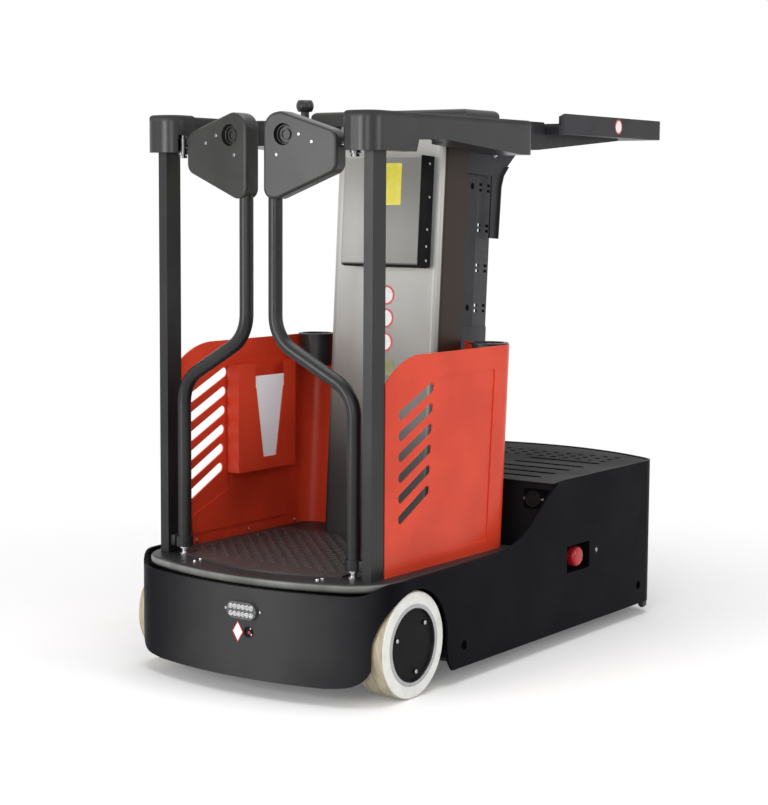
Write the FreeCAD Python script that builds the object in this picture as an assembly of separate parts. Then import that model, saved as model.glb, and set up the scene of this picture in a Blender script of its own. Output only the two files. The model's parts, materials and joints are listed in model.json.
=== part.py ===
import FreeCAD, Part
import math
import os

# Order picker truck: a drive chassis with a machine body behind, a three-stage telescopic mast
# that leans back a little, and a standing platform with gates, arm rests and a goods tray.
# Millimetres. X to the truck's right, Y from the entry end to the machine end, Z up from the floor.
# While the pieces are made, Y is counted from a datum just behind the drive axle. At the end all
# of them shift along Y, so that the origin lies under the middle of the truck's length.

V = FreeCAD.Vector

# Clearances
seat_gap = 0.3            # between pieces that seat or slide on each other
run_gap = 6.0             # between moving pieces

# Chassis shell: bumper and side skirts in one painted sheet
shell_half = 376.0        # half the width over the skirts
shell_wall = 7.0
shell_bottom = 36.0       # ground clearance under the skirts
bumper_bottom = 41.0
bumper_y = -262.0         # nose of the bumper
bumper_radius = 950.0     # plan radius of the bumper
bumper_corner = 130.0
bumper_top = 254.0
skirt_top = 281.0         # skirt height beside the platform
skirt_climb = 7.0         # that the skirt gains along the platform
step_front_y = -215.0     # where the skirt starts to rise from the bumper
step_back_y = -125.0      # where it reaches its height
rise_front_y = 320.0      # where the skirt starts to rise to the machine body
rise_back_y = 630.0
body_top = 430.0          # height of the machine body
tail_y = 1220.0
tail_radius = 689.0       # plan radius of the tail
tail_corner = 55.0
tie_hole_radius = 12.0
tie_hole_z = 88.0
tie_hole_ys = (151.0, 1036.0)

# Wheel arch: round above the axle, drawn down to the floor in front and behind
arch_radius = 131.0
arch_front_foot = 57.0    # how far in front of the round part its front edge meets the floor
arch_back_foot = 24.0
arch_drop = 38.0          # straight length of both edges under the axle

# Chassis floor
floor_bottom = 60.0
floor_plate = 8.0
riser_y = 900.0           # step up to the shelf that carries the casters
shelf_bottom = 122.0
bulkhead_y = 592.0        # front wall of the machine body, behind the mast
sheet = 6.0
floor_top = floor_bottom + floor_plate

# Top cover of the machine body, with cross slots and two rows of holes
cover_front = 566.0
cover_drop = 3.0          # it lies this far under the skirt's edge
cover_slot_ys = (642.0, 718.0, 795.0, 872.0, 955.0)
cover_slot_wide = 16.0
cover_slot_inner = 80.0   # ends of a slot from the centre line
cover_slot_outer = shell_half - 94.0
cover_row_ys = (1015.0, 1070.0)
cover_row_reach = 5       # holes to each side of the middle one
cover_hole_pitch = 41.0
cover_hole_radius = 9.0
mast_room = 8.0           # around the mast's foot

# Battery block
battery_size = (480.0, 260.0, 240.0)
battery_y = 740.0

# Drive wheels
axle_y = -51.0
tyre_radius = 125.0
tyre_width = 80.0
tyre_round = 6.0
tyre_face = shell_half - 8.0    # outer face of the tyre from the centre line
tyre_inner = tyre_face - tyre_width
rim_radius = 92.0
hub_cover_radius = 85.0
hub_face = tyre_face - 4.0
hub_dish = 5.0            # depth of the seat of the cover
hub_skirt = 30.0          # hollow on the inner side
hub_screws = (42.0, 162.0, 282.0)   # degrees round the axle
hub_screw_circle = 66.0
hub_screw_radius = 5.5
axle_radius = 18.0
axle_bury = 20.0          # how far the axle's end lies inside the hub's face
motor_radius = 46.0
gear_radius = 56.0
motor_end = 60.0          # inner end of the motor from the centre line
gear_end = 190.0
fin_count = 6
fin_pitch = 18.0
fin_thick = 7.0
fin_high = 4.0
cradle_back = 60.0        # cradle behind and before the joint of motor and gearbox
cradle_front = 40.0
cradle_half = 48.0

# Rear casters
caster_x = shell_half - 96.0
caster_y = tail_y - 28.0 - caster_x / 2
caster_radius = 50.0
caster_width = 40.0
caster_trail = 30.0
caster_play = 4.0         # between wheel and cheek
caster_axle = 8.0
caster_hollow = (16.0, 35.0, 5.0)   # ring cut in each face: inner radius, outer radius, depth
fork_plate = 5.0
fork_top = 110.0
fork_back = 20.0          # fork behind the wheel's axle
fork_front = 30.0         # fork in front of the swivel axis
bearing_radius = 38.0

# Mast, given where it passes the platform's height and leaning from there
lean = 3.5                # degrees, top towards the machine end
lean_z = 280.0            # height at which the mast's plan sizes are given
mast_front = 422.0
outer_half = 150.0
outer_half_back = 137.0
outer_bend = mast_front + 68.0    # where the outer rail's side bends inwards
outer_back = mast_front + 153.0
outer_foot = 40.0
outer_top = 1218.0
outer_lip = 118.0         # tips of the outer rail's flanges
stage_step = 22.0         # between the backs of two stages
middle_back = outer_back - stage_step
inner_back = middle_back - stage_step
middle_half = 112.0
inner_half = 86.0
middle_foot = 82.0
middle_top = 1290.0
inner_foot = 90.0
inner_top = 1316.0
flange = 8.0
web = 6.0
flange_reach = 20.0
cross_bar = 60.0          # height of the bars between two rails
outer_bar_zs = (outer_foot, 620.0, outer_top - cross_bar)
rail_slot_z = 253.0       # lowest pair of slots in the outer rail
rail_slot_pitch = 103.0
rail_slot_count = 10
rail_slot_step = 14.0     # between the two slots of a pair
rail_slot_size = (18.0, 7.0)
rail_slot_columns = (8.0, 58.0)   # start of each slot behind the bend
rail_hole_every = 3       # a round hole stands beside every third pair
rail_hole_radius = 8.5
rail_hole_ahead = 26.0    # in front of the bend
head_plate = 10.0
head_half = 44.0
roller_zs = (148.0, 316.0)
roller_face = 2.5         # between a roller's face and the web it runs beside
barrel_radius = 28.0
barrel_collar = 4.0
barrel_collar_high = 40.0
barrel_top = 1200.0
rod_radius = 18.0
rod_foot = 110.0
cylinder_y = 456.0

# Platform deck
deck_top = 280.0
deck_plate = 21.0
deck_bottom = deck_top - deck_plate
deck_half = shell_half - 24.0
deck_front = bumper_y
deck_radius = 750.0
deck_corner = 120.0
deck_back = 440.0
deck_edge = 8.0           # rounding of its upper and lower edges
mat_thick = 5.0
mat_front = -203.0
mat_radius = 490.0        # plan radius of its front edge
mat_half = deck_half - 56.0
mat_corner = 30.0
notch_half = 168.5        # room in the deck for the mast
flat_end = 9000.0         # plan radius that counts as straight

# Carriage, from between the inner rails to under the deck
guard_half = 165.0
guard_front = 305.0
arm_half = 22.0
arm_x = 120.0
arm_depth = 26.0
arm_front = -170.0
cheek_thick = 10.0
cheek_low = 104.0
cheek_high = 470.0
face_y = guard_front + 75.0
face_high = 1180.0

# Posts and gate pivots
post_x = deck_half - 36.0       # outer face
post_wide = 25.0
post_deep = 50.0
post_front = -148.0
post_wall = 2.5
post_back = post_front + post_deep
rail_bottom = 1248.0
rail_top = 1336.0
pivot_x = post_x - 62.0
pivot_y = -130.0
pin_radius = 6.0
spool_radius = 8.0
spool_rim = 13.0
spool_rim_high = 4.0

# Side panels
panel_x = post_x + 2.0
panel_sheet = 4.0
panel_bend = 50.0
panel_bend_y = 389.0      # centre of the rear corner at the deck
panel_top = 785.0
panel_front_top = 725.0
panel_curve_y = 54.0
panel_curve = (12.0, 0.72)    # how far the top edge's arc leaves a straight line: forward, share up
field_depth = 2.5
field_corner = 9.0
field_points = ((-36.0, 308.0), (338.0, 308.0), (368.0, 730.0),
                (128.0, 730.0), (118.0, 412.0), (-36.0, 352.0))    # Y, Z
slot_width = 24.0
slot_pitch = 48.2
slot_count = 6
slot_low = (-33.0, 409.0)
slot_high = (73.0, 463.0)
slot_lean = 3.4           # each higher slot reaches this much further back

# Round bins in the rear corners of the panels
cup_radius = (panel_x - guard_half - 27.0) / 3
cup_wall = 3.5
cup_depth = 80.0
cup_rim = 4.0

# Document pocket on the inside of the left panel
pocket_y = (100.0, 333.0)
pocket_z = (448.0, 724.0)
pocket_deep = 40.0
pocket_sheet = 2.0
window_top = (168.0, 286.0, 676.0)    # Y, Y, Z of the window's upper edge
window_low = (200.0, 252.0, 480.0)
notch_low = 660.0
paper_y = (130.0, 305.0)
paper_z = (450.5, 690.0)
paper_thick = 1.5
paper_ahead = 34.5        # from the panel's inner face

# Guard in front of the mast, with its control box
guard_sheet = 3.0
guard_bend = 20.0
guard_top = rail_top - 11.0
guard_back = mast_front - 3.0
box_left = -103.0
box_right = 135.0
box_low = 970.0
box_high = 1240.0
box_deep = 52.0
box_edge = 6.0

# Arm rests and console
rest_half = post_x + 22.0       # outer face
rest_inner = rest_half - 100.0
rest_slim = rest_half - 48.0    # inner face beside the open gate
rest_front = -180.0
rest_back = 507.0
rest_front_corner = 40.0
rest_back_corner = 24.0
rest_top_edge = 8.0
block_back = -104.0       # rear of the block that carries the gate
slim_back = 180.0
under_points = ((-10.0, 0.0), (0.0, 28.0), (109.0, 31.0), (440.0, 4.0))   # Y, height of the underside
hinge_room_front = -160.0       # hollow in the block for the gate's upper bush
hinge_room_half = 22.0
hinge_room_top = rail_bottom + 41.0
console_front = 350.0
console_top = 1362.0
console_edge = 14.0
knob_x = rest_slim
knob_y = 392.0
knob_stem = (11.0, 34.0)        # radius, height
knob_radius = 23.0

# Tray, its arms and the hangers beside the mast
tray_half = post_x
tray_front = 681.0
tray_back = 1234.0
tray_bottom = 1310.0
tray_lip = 52.0
tray_front_lip = 20.0
tray_lip_corner = 16.0
tray_corner = 12.0
tray_sheet = 3.0
tray_arm_x = 250.0
tray_arm_wide = 30.0
tray_arm_top = tray_bottom + 30.0
tray_arm_low = rail_bottom + 16.0
tray_arm_knee = (650.0, tray_bottom - 41.0)
tray_arm_end = (1075.0, tray_bottom - 6.0)
tube_y = (700.0, 740.0)
tube_low = tray_bottom - 26.0
hanger_half = outer_half + run_gap
hanger_sheet = 4.0
hanger_flange = 10.0
# Side plate, level with the mast before it leans: Y behind mast_front, Z. The flange runs
# along its rear edge.
hanger_rear = ((153.0, 1052.0), (157.0, 1186.0), (167.0, 1215.0), (190.0, 1240.0))
hanger_points = ((3.0, 1330.0), (3.0, 1211.0), (118.0, 1211.0), (118.0, 1052.0)) + hanger_rear
hanger_points += ((230.0, 1275.0), (232.0, 1330.0))

# Gates, drawn flat with the pivot at zero
gate_splay = 5.5          # degrees that the shut gate points outwards
gate_tube = 16.5          # radius
gate_wall = 2.5
gate_foot = 299.0
gate_collar = (20.5, 25.0)      # radius, height
gate_bend_radius = 90.0
gate_elbow = 702.0
gate_knee = (pivot_x - 42.0, 820.0)
gate_head = 1160.0
pad_thick = 45.0
pad_edge = 7.0
# Outline of the housing: distance from the pivot, Z, corner radius
pad_end = pivot_x - 22.0
pad_points = ((36.0, 1204.0, 26.0), (36.0, 1292.0, 26.0), (pad_end - 48.0, 1339.0, 38.0),
              (pad_end, 1331.0, 38.0), (pad_end, 1140.0, 24.0), (pad_end - 38.0, 1140.0, 24.0))
pad_hole = (pad_end - 54.0, 1286.0)
pad_hole_radius = 25.0
pad_hole_deep = 18.0
bush_radius = 13.0
bush_low = rail_bottom - 5.0
bush_high = rail_bottom + 33.0

# Emergency stop in its pocket in the right skirt, and the key switch behind it
stop_y = 697.0
stop_z = 218.0
stop_wide = 118.0
stop_high = 70.0
stop_deep = 34.0
stop_wall = 3.0
stop_radius = 24.0
stop_stem = (13.0, 14.0)        # radius, length
stop_cap = 15.0
key_y = 795.0
key_z = 223.0
key_radius = 11.0
key_deep = 24.0

# Charging socket on the front wall of the machine body
socket_x = shell_half - 63.0
socket_z = 378.0
socket_radius = 24.0
socket_plate = (40.0, 26.0, 4.0)    # half width, half height, thickness
socket_cap = 12.0

# Headlight in the bumper, two rows of lenses
light_x = 35.0
light_z = 200.0
light_half = 30.0
light_radius = 20.0
light_proud = 6.0
lens_columns = 6
lens_pitch = 12.0
lens_rows = (-8.5, 8.5)
lens_radius = 5.0
lens_proud = 2.5
light_y = bumper_y + bumper_radius - math.sqrt(bumper_radius ** 2 - light_x ** 2)
light_front = light_y - light_proud

origin_y = (light_front - lens_proud + tray_back) / 2
mast_sin = math.sin(math.radians(lean))
mast_cos = math.cos(math.radians(lean))


def write(node, shape):
    moved = shape.copy()
    moved.translate(V(0, -origin_y, 0))
    moved.exportStep("parts/" + node + ".step")


def box(x0, x1, y0, y1, z0, z1):
    return Part.makeBox(x1 - x0, y1 - y0, z1 - z0, V(x0, y0, z0))


def rod_x(radius, x0, x1, y, z):
    return Part.makeCylinder(radius, x1 - x0, V(x0, y, z), V(1, 0, 0))


def rod_y(radius, x, y0, y1, z):
    return Part.makeCylinder(radius, y1 - y0, V(x, y0, z), V(0, 1, 0))


def rod_z(radius, x, y, z0, z1):
    return Part.makeCylinder(radius, z1 - z0, V(x, y, z0))


def mirror(shape):
    return shape.mirror(V(0, 0, 0), V(1, 0, 0))


def leaned(shape):
    turned = shape.copy()
    turned.rotate(V(0, mast_front, lean_z), V(1, 0, 0), -lean)
    return turned


def leaned_y(y, z):
    # Where a line of the mast that passes y at the platform's height has got to at z.
    return y + (z - lean_z) * mast_sin / mast_cos


def prism(points, along):
    wire = Part.makePolygon([V(*p) for p in points] + [V(*points[0])])
    return Part.Face(wire).extrude(V(*along))


def upright_edges(shape, xs, margin=0.01):
    found = []
    for edge in shape.Edges:
        a = edge.Vertexes[0].Point
        b = edge.Vertexes[-1].Point
        straight = abs(a.x - b.x) < margin and abs(a.y - b.y) < margin and abs(a.z - b.z) > 1
        if straight and any(abs(a.x - x) < margin for x in xs):
            found.append(edge)
    return found


def level_edges(shape, z):
    return [e for e in shape.Edges if abs(e.BoundBox.ZMin - z) < 0.1 and e.BoundBox.ZLength < 0.1]


def rounded_polygon(points, radii):
    # A closed outline with rounded corners; one radius, or one for each corner.
    corners = [V(*p) for p in points]
    count = len(corners)
    if not isinstance(radii, (list, tuple)):
        radii = [radii] * count
    edges = []
    last = None
    first = None
    for i, radius in enumerate(radii):
        before = (corners[i - 1] - corners[i]).normalize()
        after = (corners[(i + 1) % count] - corners[i]).normalize()
        half = before.getAngle(after) / 2
        reach = radius / math.tan(half)
        start = corners[i] + before * reach
        end = corners[i] + after * reach
        inward = (before + after).normalize()
        middle = corners[i] + inward * (radius / math.sin(half) - radius)
        if last is not None:
            edges.append(Part.makeLine(last, start))
        else:
            first = start
        edges.append(Part.Arc(start, middle, end).toShape())
        last = end
    edges.append(Part.makeLine(last, first))
    return Part.Face(Part.Wire(edges))


def plan_block(half, front, front_radius, back, back_radius, corners, z0, z1):
    # A block whose ends are arcs in plan and whose four upright corners are rounded.
    front_sag = front_radius - math.sqrt(front_radius ** 2 - half ** 2)
    back_sag = back_radius - math.sqrt(back_radius ** 2 - half ** 2)
    a = V(-half, front + front_sag, z0)
    b = V(half, front + front_sag, z0)
    c = V(half, back - back_sag, z0)
    d = V(-half, back - back_sag, z0)
    wire = Part.Wire([
        Part.Arc(a, V(0, front, z0), b).toShape(),
        Part.makeLine(b, c),
        Part.Arc(c, V(0, back, z0), d).toShape(),
        Part.makeLine(d, a)])
    block = Part.Face(wire).extrude(V(0, 0, z1 - z0))
    edges = upright_edges(block, (-half, half))
    middle = (front + back) / 2
    block = block.makeFillet(corners[0], [e for e in edges if e.Vertexes[0].Point.y < middle])
    edges = upright_edges(block, (-half, half))
    rear = [e for e in edges if e.Vertexes[0].Point.y > back - back_sag - 1]
    return block.makeFillet(corners[1], rear)


def shell_block(inset, z0, z1):
    return plan_block(shell_half - inset, bumper_y + inset, bumper_radius - inset,
                      tail_y - inset, tail_radius - inset,
                      (bumper_corner - inset, tail_corner - inset), z0, z1)


def bezier(points):
    curve = Part.BezierCurve()
    curve.setPoles([V(*p) for p in points])
    return curve.toShape()


def make_skyline(x):
    # Side view of what is cut away above the bumper and the skirts.
    step = (step_back_y - step_front_y) / 2
    rise = (rise_back_y - rise_front_y) * 0.45
    high = body_top + 50
    front = bumper_y - 50
    ridge = skirt_top + skirt_climb
    return Part.Face(Part.Wire([
        Part.makeLine(V(x, front, bumper_top), V(x, step_front_y, bumper_top)),
        bezier(((x, step_front_y, bumper_top), (x, step_front_y + step, bumper_top),
                (x, step_back_y - step, skirt_top), (x, step_back_y, skirt_top))),
        Part.makeLine(V(x, step_back_y, skirt_top), V(x, rise_front_y, ridge)),
        bezier(((x, rise_front_y, ridge), (x, rise_front_y + rise, ridge + 1),
                (x, rise_back_y - rise * 0.75, body_top), (x, rise_back_y, body_top))),
        Part.makeLine(V(x, rise_back_y, body_top), V(x, rise_back_y, high)),
        Part.makeLine(V(x, rise_back_y, high), V(x, front, high)),
        Part.makeLine(V(x, front, high), V(x, front, bumper_top))]))


def make_arch(x):
    # Side view of the wheel arch, with the bumper's rounded foot in front of it.
    low = shell_bottom - 20
    turn = tyre_radius - arch_drop
    front = axle_y - arch_radius
    back = axle_y + arch_radius
    front_foot = front - arch_front_foot
    back_foot = back + arch_back_foot
    front_bend = V(x, front - arch_front_foot * 0.3, (turn + bumper_bottom) / 2 - 6)
    back_bend = V(x, back + arch_back_foot * 0.25, (turn + shell_bottom) / 2)
    return Part.Face(Part.Wire([
        Part.Arc(V(x, front, tyre_radius), V(x, axle_y, tyre_radius + arch_radius),
                 V(x, back, tyre_radius)).toShape(),
        Part.makeLine(V(x, back, tyre_radius), V(x, back, turn)),
        Part.Arc(V(x, back, turn), back_bend, V(x, back_foot, shell_bottom - 1)).toShape(),
        Part.makeLine(V(x, back_foot, shell_bottom - 1), V(x, back_foot, low)),
        Part.makeLine(V(x, back_foot, low), V(x, front_foot, low)),
        Part.makeLine(V(x, front_foot, low), V(x, front_foot, bumper_bottom - 1)),
        Part.Arc(V(x, front_foot, bumper_bottom - 1), front_bend, V(x, front, turn)).toShape(),
        Part.makeLine(V(x, front, turn), V(x, front, tyre_radius))]))


def make_shell():
    shell = shell_block(0, shell_bottom, body_top).cut(shell_block(shell_wall, 0, body_top + 10))
    width = 2 * shell_half + 100
    shell = shell.cut(make_skyline(-width / 2).extrude(V(width, 0, 0)))
    shell = shell.cut(box(-width, width, bumper_y - 50, axle_y, 0, bumper_bottom))
    depth = bumper_corner
    for side in (-1, 1):
        x0 = side * shell_half - depth
        shell = shell.cut(make_arch(x0).extrude(V(2 * depth, 0, 0)))
        for y in tie_hole_ys:
            shell = shell.cut(rod_x(tie_hole_radius, x0, x0 + 2 * depth, y, tie_hole_z))
    shell = shell.cut(box(shell_half - 20, shell_half + 20, stop_y - stop_wide / 2,
                          stop_y + stop_wide / 2, stop_z - stop_high / 2, stop_z + stop_high / 2))
    return shell.cut(rod_x(key_radius + seat_gap, shell_half - 20, shell_half + 20, key_y, key_z))


def make_floor():
    # One bent plate: low under the platform and batteries, high over the casters.
    reach = 2 * shell_half
    inside = shell_block(shell_wall + seat_gap, 0, body_top)
    shelf_top = shelf_bottom + floor_plate
    low = box(-reach, reach, bumper_y, riser_y + floor_plate, floor_bottom, floor_top)
    riser = box(-reach, reach, riser_y, riser_y + floor_plate, floor_bottom, shelf_top)
    shelf = box(-reach, reach, riser_y, tail_y, shelf_bottom, shelf_top)
    plate = low.fuse(riser).fuse(shelf).common(inside)
    inner = tyre_inner - run_gap * 2
    room = arch_radius + run_gap
    for side in (-1, 1):
        x0, x1 = sorted((side * inner, side * reach))
        plate = plate.cut(box(x0, x1, axle_y - room, axle_y + room, 0, tyre_radius))
        plate = plate.cut(rod_z(axle_radius + run_gap, side * caster_x, caster_y, 0, body_top))
    return plate.removeSplitter()


def make_bulkhead():
    wall = box(-shell_half, shell_half, bulkhead_y, bulkhead_y + sheet,
               floor_top, body_top - cover_drop - sheet)
    return wall.common(shell_block(shell_wall + seat_gap, 0, body_top))


def make_cover():
    top = body_top - cover_drop
    high = top + sheet
    cover = shell_block(shell_wall + seat_gap, top - sheet, top)
    cover = cover.cut(box(-shell_half, shell_half, bumper_y, cover_front, 0, body_top))
    room = outer_half + mast_room
    cover = cover.cut(box(-room, room, cover_front - 1, bulkhead_y, 0, body_top))
    low = top - 2 * sheet
    for y in cover_slot_ys:
        r = cover_slot_wide / 2
        slot = box(cover_slot_inner, cover_slot_outer, y - r, y + r, low, high)
        slot = slot.fuse(rod_z(r, cover_slot_inner, y, low, high))
        slot = slot.fuse(rod_z(r, cover_slot_outer, y, low, high))
        cover = cover.cut(slot).cut(mirror(slot))
    for row, y in enumerate(cover_row_ys):
        for i in range(-cover_row_reach, cover_row_reach + 1):
            cover = cover.cut(rod_z(cover_hole_radius, (i + row / 2) * cover_hole_pitch, y, low, high))
    return cover


def make_battery():
    wide, deep, high = battery_size
    return box(-wide / 2, wide / 2, battery_y - deep / 2, battery_y + deep / 2,
               floor_top, floor_top + high)


def make_tyre():
    # The right tyre, a plain solid band with rounded edges.
    band = rod_x(tyre_radius, tyre_inner, tyre_face, axle_y, tyre_radius)
    rims = [e for e in band.Edges if abs(e.Length - 2 * math.pi * tyre_radius) < 1]
    band = band.makeFillet(tyre_round, rims)
    return band.cut(rod_x(rim_radius, 0, tyre_face + 10, axle_y, tyre_radius))


def make_hub():
    hub = rod_x(rim_radius - seat_gap, tyre_inner, hub_face, axle_y, tyre_radius)
    hub = hub.cut(rod_x(hub_cover_radius, hub_face - hub_dish, hub_face + 5, axle_y, tyre_radius))
    hub = hub.cut(rod_x(rim_radius - 10, tyre_inner - 1, tyre_inner + hub_skirt, axle_y, tyre_radius))
    return hub.cut(rod_x(axle_radius + seat_gap, tyre_inner, hub_face - axle_bury, axle_y, tyre_radius))


def make_hub_cover():
    inner = hub_face - hub_dish + seat_gap
    disc = rod_x(hub_cover_radius - seat_gap, inner, hub_face - 2, axle_y, tyre_radius)
    for turn in hub_screws:
        angle = math.radians(turn)
        y = axle_y + hub_screw_circle * math.cos(angle)
        z = tyre_radius + hub_screw_circle * math.sin(angle)
        disc = disc.fuse(rod_x(hub_screw_radius, hub_face - 3, hub_face + 1.5, y, z))
    return disc


def make_drive_unit():
    # Motor, gearbox flange and axle of the right wheel, on its cradle.
    flange_end = tyre_inner - run_gap
    unit = rod_x(motor_radius, motor_end, gear_end, axle_y, tyre_radius)
    unit = unit.fuse(rod_x(gear_radius, gear_end, flange_end, axle_y, tyre_radius))
    unit = unit.fuse(rod_x(axle_radius, flange_end, hub_face - axle_bury - 2, axle_y, tyre_radius))
    for i in range(fin_count):
        x = motor_end + (i + 1) * fin_pitch
        unit = unit.fuse(rod_x(motor_radius + fin_high, x, x + fin_thick, axle_y, tyre_radius))
    cradle = box(gear_end - cradle_back, gear_end + cradle_front, axle_y - cradle_half,
                 axle_y + cradle_half, floor_top, tyre_radius)
    cradle = cradle.cut(rod_x(gear_radius, gear_end, gear_end + cradle_back, axle_y, tyre_radius))
    cradle = cradle.cut(rod_x(motor_radius, 0, gear_end + 1, axle_y, tyre_radius))
    return unit.fuse(cradle).removeSplitter()


def make_caster_fork():
    # Bearing, crown and two cheeks, with the axle, of the right caster.
    wheel_y = caster_y + caster_trail
    half = caster_width / 2 + caster_play
    full = half + fork_plate
    crown = box(caster_x - full, caster_x + full, caster_y - fork_front, wheel_y + fork_back,
                fork_top - fork_plate, fork_top)
    body = crown.fuse(rod_z(bearing_radius, caster_x, caster_y, fork_top - 4, shelf_bottom - seat_gap))
    body = body.fuse(rod_z(axle_radius, caster_x, caster_y, fork_top, shelf_bottom + floor_plate * 2))
    low = caster_radius - 12
    cheek = prism(((0, caster_y - fork_front, fork_top), (0, wheel_y + fork_back, fork_top),
                   (0, wheel_y + fork_back - 4, low), (0, wheel_y - fork_back + 4, low)),
                  (fork_plate, 0, 0))
    for x in (caster_x - full, caster_x + half):
        piece = cheek.copy()
        piece.translate(V(x, 0, 0))
        body = body.fuse(piece)
    axle = rod_x(caster_axle, caster_x - full - 4, caster_x + full + 4, wheel_y, caster_radius)
    return body.fuse(axle).removeSplitter()


def make_caster_wheel():
    wheel_y = caster_y + caster_trail
    x0 = caster_x - caster_width / 2
    x1 = caster_x + caster_width / 2
    wheel = rod_x(caster_radius, x0, x1, wheel_y, caster_radius)
    rims = [e for e in wheel.Edges if abs(e.Length - 2 * math.pi * caster_radius) < 1]
    wheel = wheel.makeFillet(tyre_round, rims)
    inner, outer, deep = caster_hollow
    for a, b in ((x0 - 1, x0 + deep), (x1 - deep, x1 + 1)):
        ring = rod_x(outer, a, b, wheel_y, caster_radius).cut(rod_x(inner, a, b, wheel_y, caster_radius))
        wheel = wheel.cut(ring)
    return wheel.cut(rod_x(caster_axle + seat_gap, x0 - 5, x1 + 5, wheel_y, caster_radius))


def make_rail(outline, foot, top):
    return prism([(x, y, foot) for x, y in outline], (0, 0, top - foot))


def channel(half, lip, back, foot, top):
    # One rail of a telescopic stage: a web with two flanges that point inwards.
    return make_rail(((half, mast_front), (half, back), (lip, back), (lip, back - flange),
                      (half - web, back - flange), (half - web, mast_front + flange),
                      (lip, mast_front + flange), (lip, mast_front)), foot, top)


def make_outer_mast():
    # Fixed stage. The rear part of each side bends inwards.
    skin = web - 1
    inner_back_x = outer_half_back - skin
    rail = make_rail(((outer_half, mast_front), (outer_half, outer_bend),
                      (outer_half_back, outer_back), (outer_lip, outer_back),
                      (outer_lip, outer_back - flange), (inner_back_x, outer_back - flange),
                      (outer_half - skin, outer_bend), (outer_half - skin, mast_front + flange),
                      (outer_lip, mast_front + flange), (outer_lip, mast_front)),
                     outer_foot, outer_top)
    x0 = outer_half_back - 10
    x1 = outer_half + 5
    long, high = rail_slot_size
    for i in range(rail_slot_count):
        z = rail_slot_z + i * rail_slot_pitch
        for start in rail_slot_columns:
            y = outer_bend + start
            for low in (z - rail_slot_step / 2, z + rail_slot_step / 2):
                rail = rail.cut(box(x0, x1, y, y + long, low - high / 2, low + high / 2))
        if i % rail_hole_every == 0:
            rail = rail.cut(rod_x(rail_hole_radius, x0, x1, outer_bend - rail_hole_ahead, z))
    mast = rail.fuse(mirror(rail))
    half = outer_half_back - 4
    for z in outer_bar_zs:
        mast = mast.fuse(box(-half, half, outer_back, outer_back + sheet, z, z + cross_bar))
    return leaned(mast).cut(box(-shell_half, shell_half, 0, tail_y, -floor_top, floor_top))


def make_stage(half, lip, back, foot, top, back_gap, head):
    # A moving stage: two channels, bars across the back and rollers on the outside.
    rail = channel(half, lip, back, foot, top)
    track = back + back_gap - mast_front - 2 * flange
    track_y = mast_front + flange + track / 2
    for z in roller_zs:
        wheel = rod_x(track / 2 - seat_gap, half, half + run_gap + flange_reach - web - roller_face, track_y, z)
        rail = rail.fuse(wheel)
    stage = rail.fuse(mirror(rail))
    stage = stage.fuse(box(-half, half, back, back + sheet, foot, foot + cross_bar))
    if head:
        stage = stage.fuse(box(-half, half, back, back + sheet, top - cross_bar, top))
        stage = stage.fuse(box(-head_half, head_half, cylinder_y - barrel_radius, back + sheet,
                               top - head_plate, top))
    else:
        stage = stage.fuse(box(-half, half, back, back + sheet, middle_top + run_gap, top))
    return leaned(stage)


def make_barrel():
    barrel = rod_z(barrel_radius, 0, cylinder_y, outer_foot, barrel_top)
    barrel = barrel.fuse(rod_z(barrel_radius + barrel_collar, 0, cylinder_y,
                               barrel_top - barrel_collar_high, barrel_top))
    barrel = barrel.cut(rod_z(rod_radius + seat_gap, 0, cylinder_y, rod_foot - 10, barrel_top + 5))
    return leaned(barrel).cut(box(-shell_half, shell_half, 0, tail_y, -floor_top, floor_top))


def make_rod():
    return leaned(rod_z(rod_radius, 0, cylinder_y, rod_foot, middle_top - head_plate))


def make_carriage():
    # Runs between the inner rails and reaches forward under the deck.
    plate_x = inner_half - flange_reach - run_gap
    roller_end = inner_half - web - 0.5
    body = None
    track = inner_back - mast_front - 2 * flange
    track_y = mast_front + flange + track / 2
    face_back = face_y + cheek_thick
    for side in (0, 1):
        cheek = box(plate_x - cheek_thick, plate_x, face_back, inner_back - stage_step, cheek_low, cheek_high)
        for z in roller_zs:
            cheek = cheek.fuse(rod_x(track / 2 - seat_gap, plate_x, roller_end, track_y, z))
        cheek = cheek if side == 0 else mirror(cheek)
        body = cheek if body is None else body.fuse(cheek)
    half = guard_half - guard_sheet - 5
    face = box(-half, half, face_y, face_back, cheek_low, face_high)
    body = leaned(body.fuse(face))
    for side in (-1, 1):
        x = side * arm_x
        arm = box(x - arm_half, x + arm_half, arm_front, face_back - 1, deck_bottom - arm_depth, deck_bottom)
        body = body.fuse(arm)
    return body.removeSplitter()


def make_deck():
    plate = plan_block(deck_half, deck_front, deck_radius, deck_back + 300, flat_end,
                       (deck_corner, 10), deck_bottom, deck_top)
    plate = plate.cut(box(-shell_half, shell_half, deck_back, deck_back + 400, 0, deck_top + 100))
    ring = [e for e in level_edges(plate, deck_bottom) + level_edges(plate, deck_top)
            if e.BoundBox.YMin < deck_back - 10]
    plate = plate.makeFillet(deck_edge, ring)
    forward = leaned_y(guard_front, deck_bottom) - seat_gap
    return plate.cut(box(-notch_half, notch_half, forward, deck_back + 10, 0, deck_top + 100))


def make_mat():
    # It widens behind the posts.
    mat = plan_block(mat_half, mat_front, mat_radius, guard_front - run_gap, flat_end,
                     (mat_corner, mat_corner), deck_top, deck_top + mat_thick)
    room = box(pivot_x - hinge_room_half, mat_half + 10, mat_front, post_back, deck_top - 1,
               deck_top + mat_thick + 1)
    return mat.cut(room).cut(mirror(room))


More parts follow.
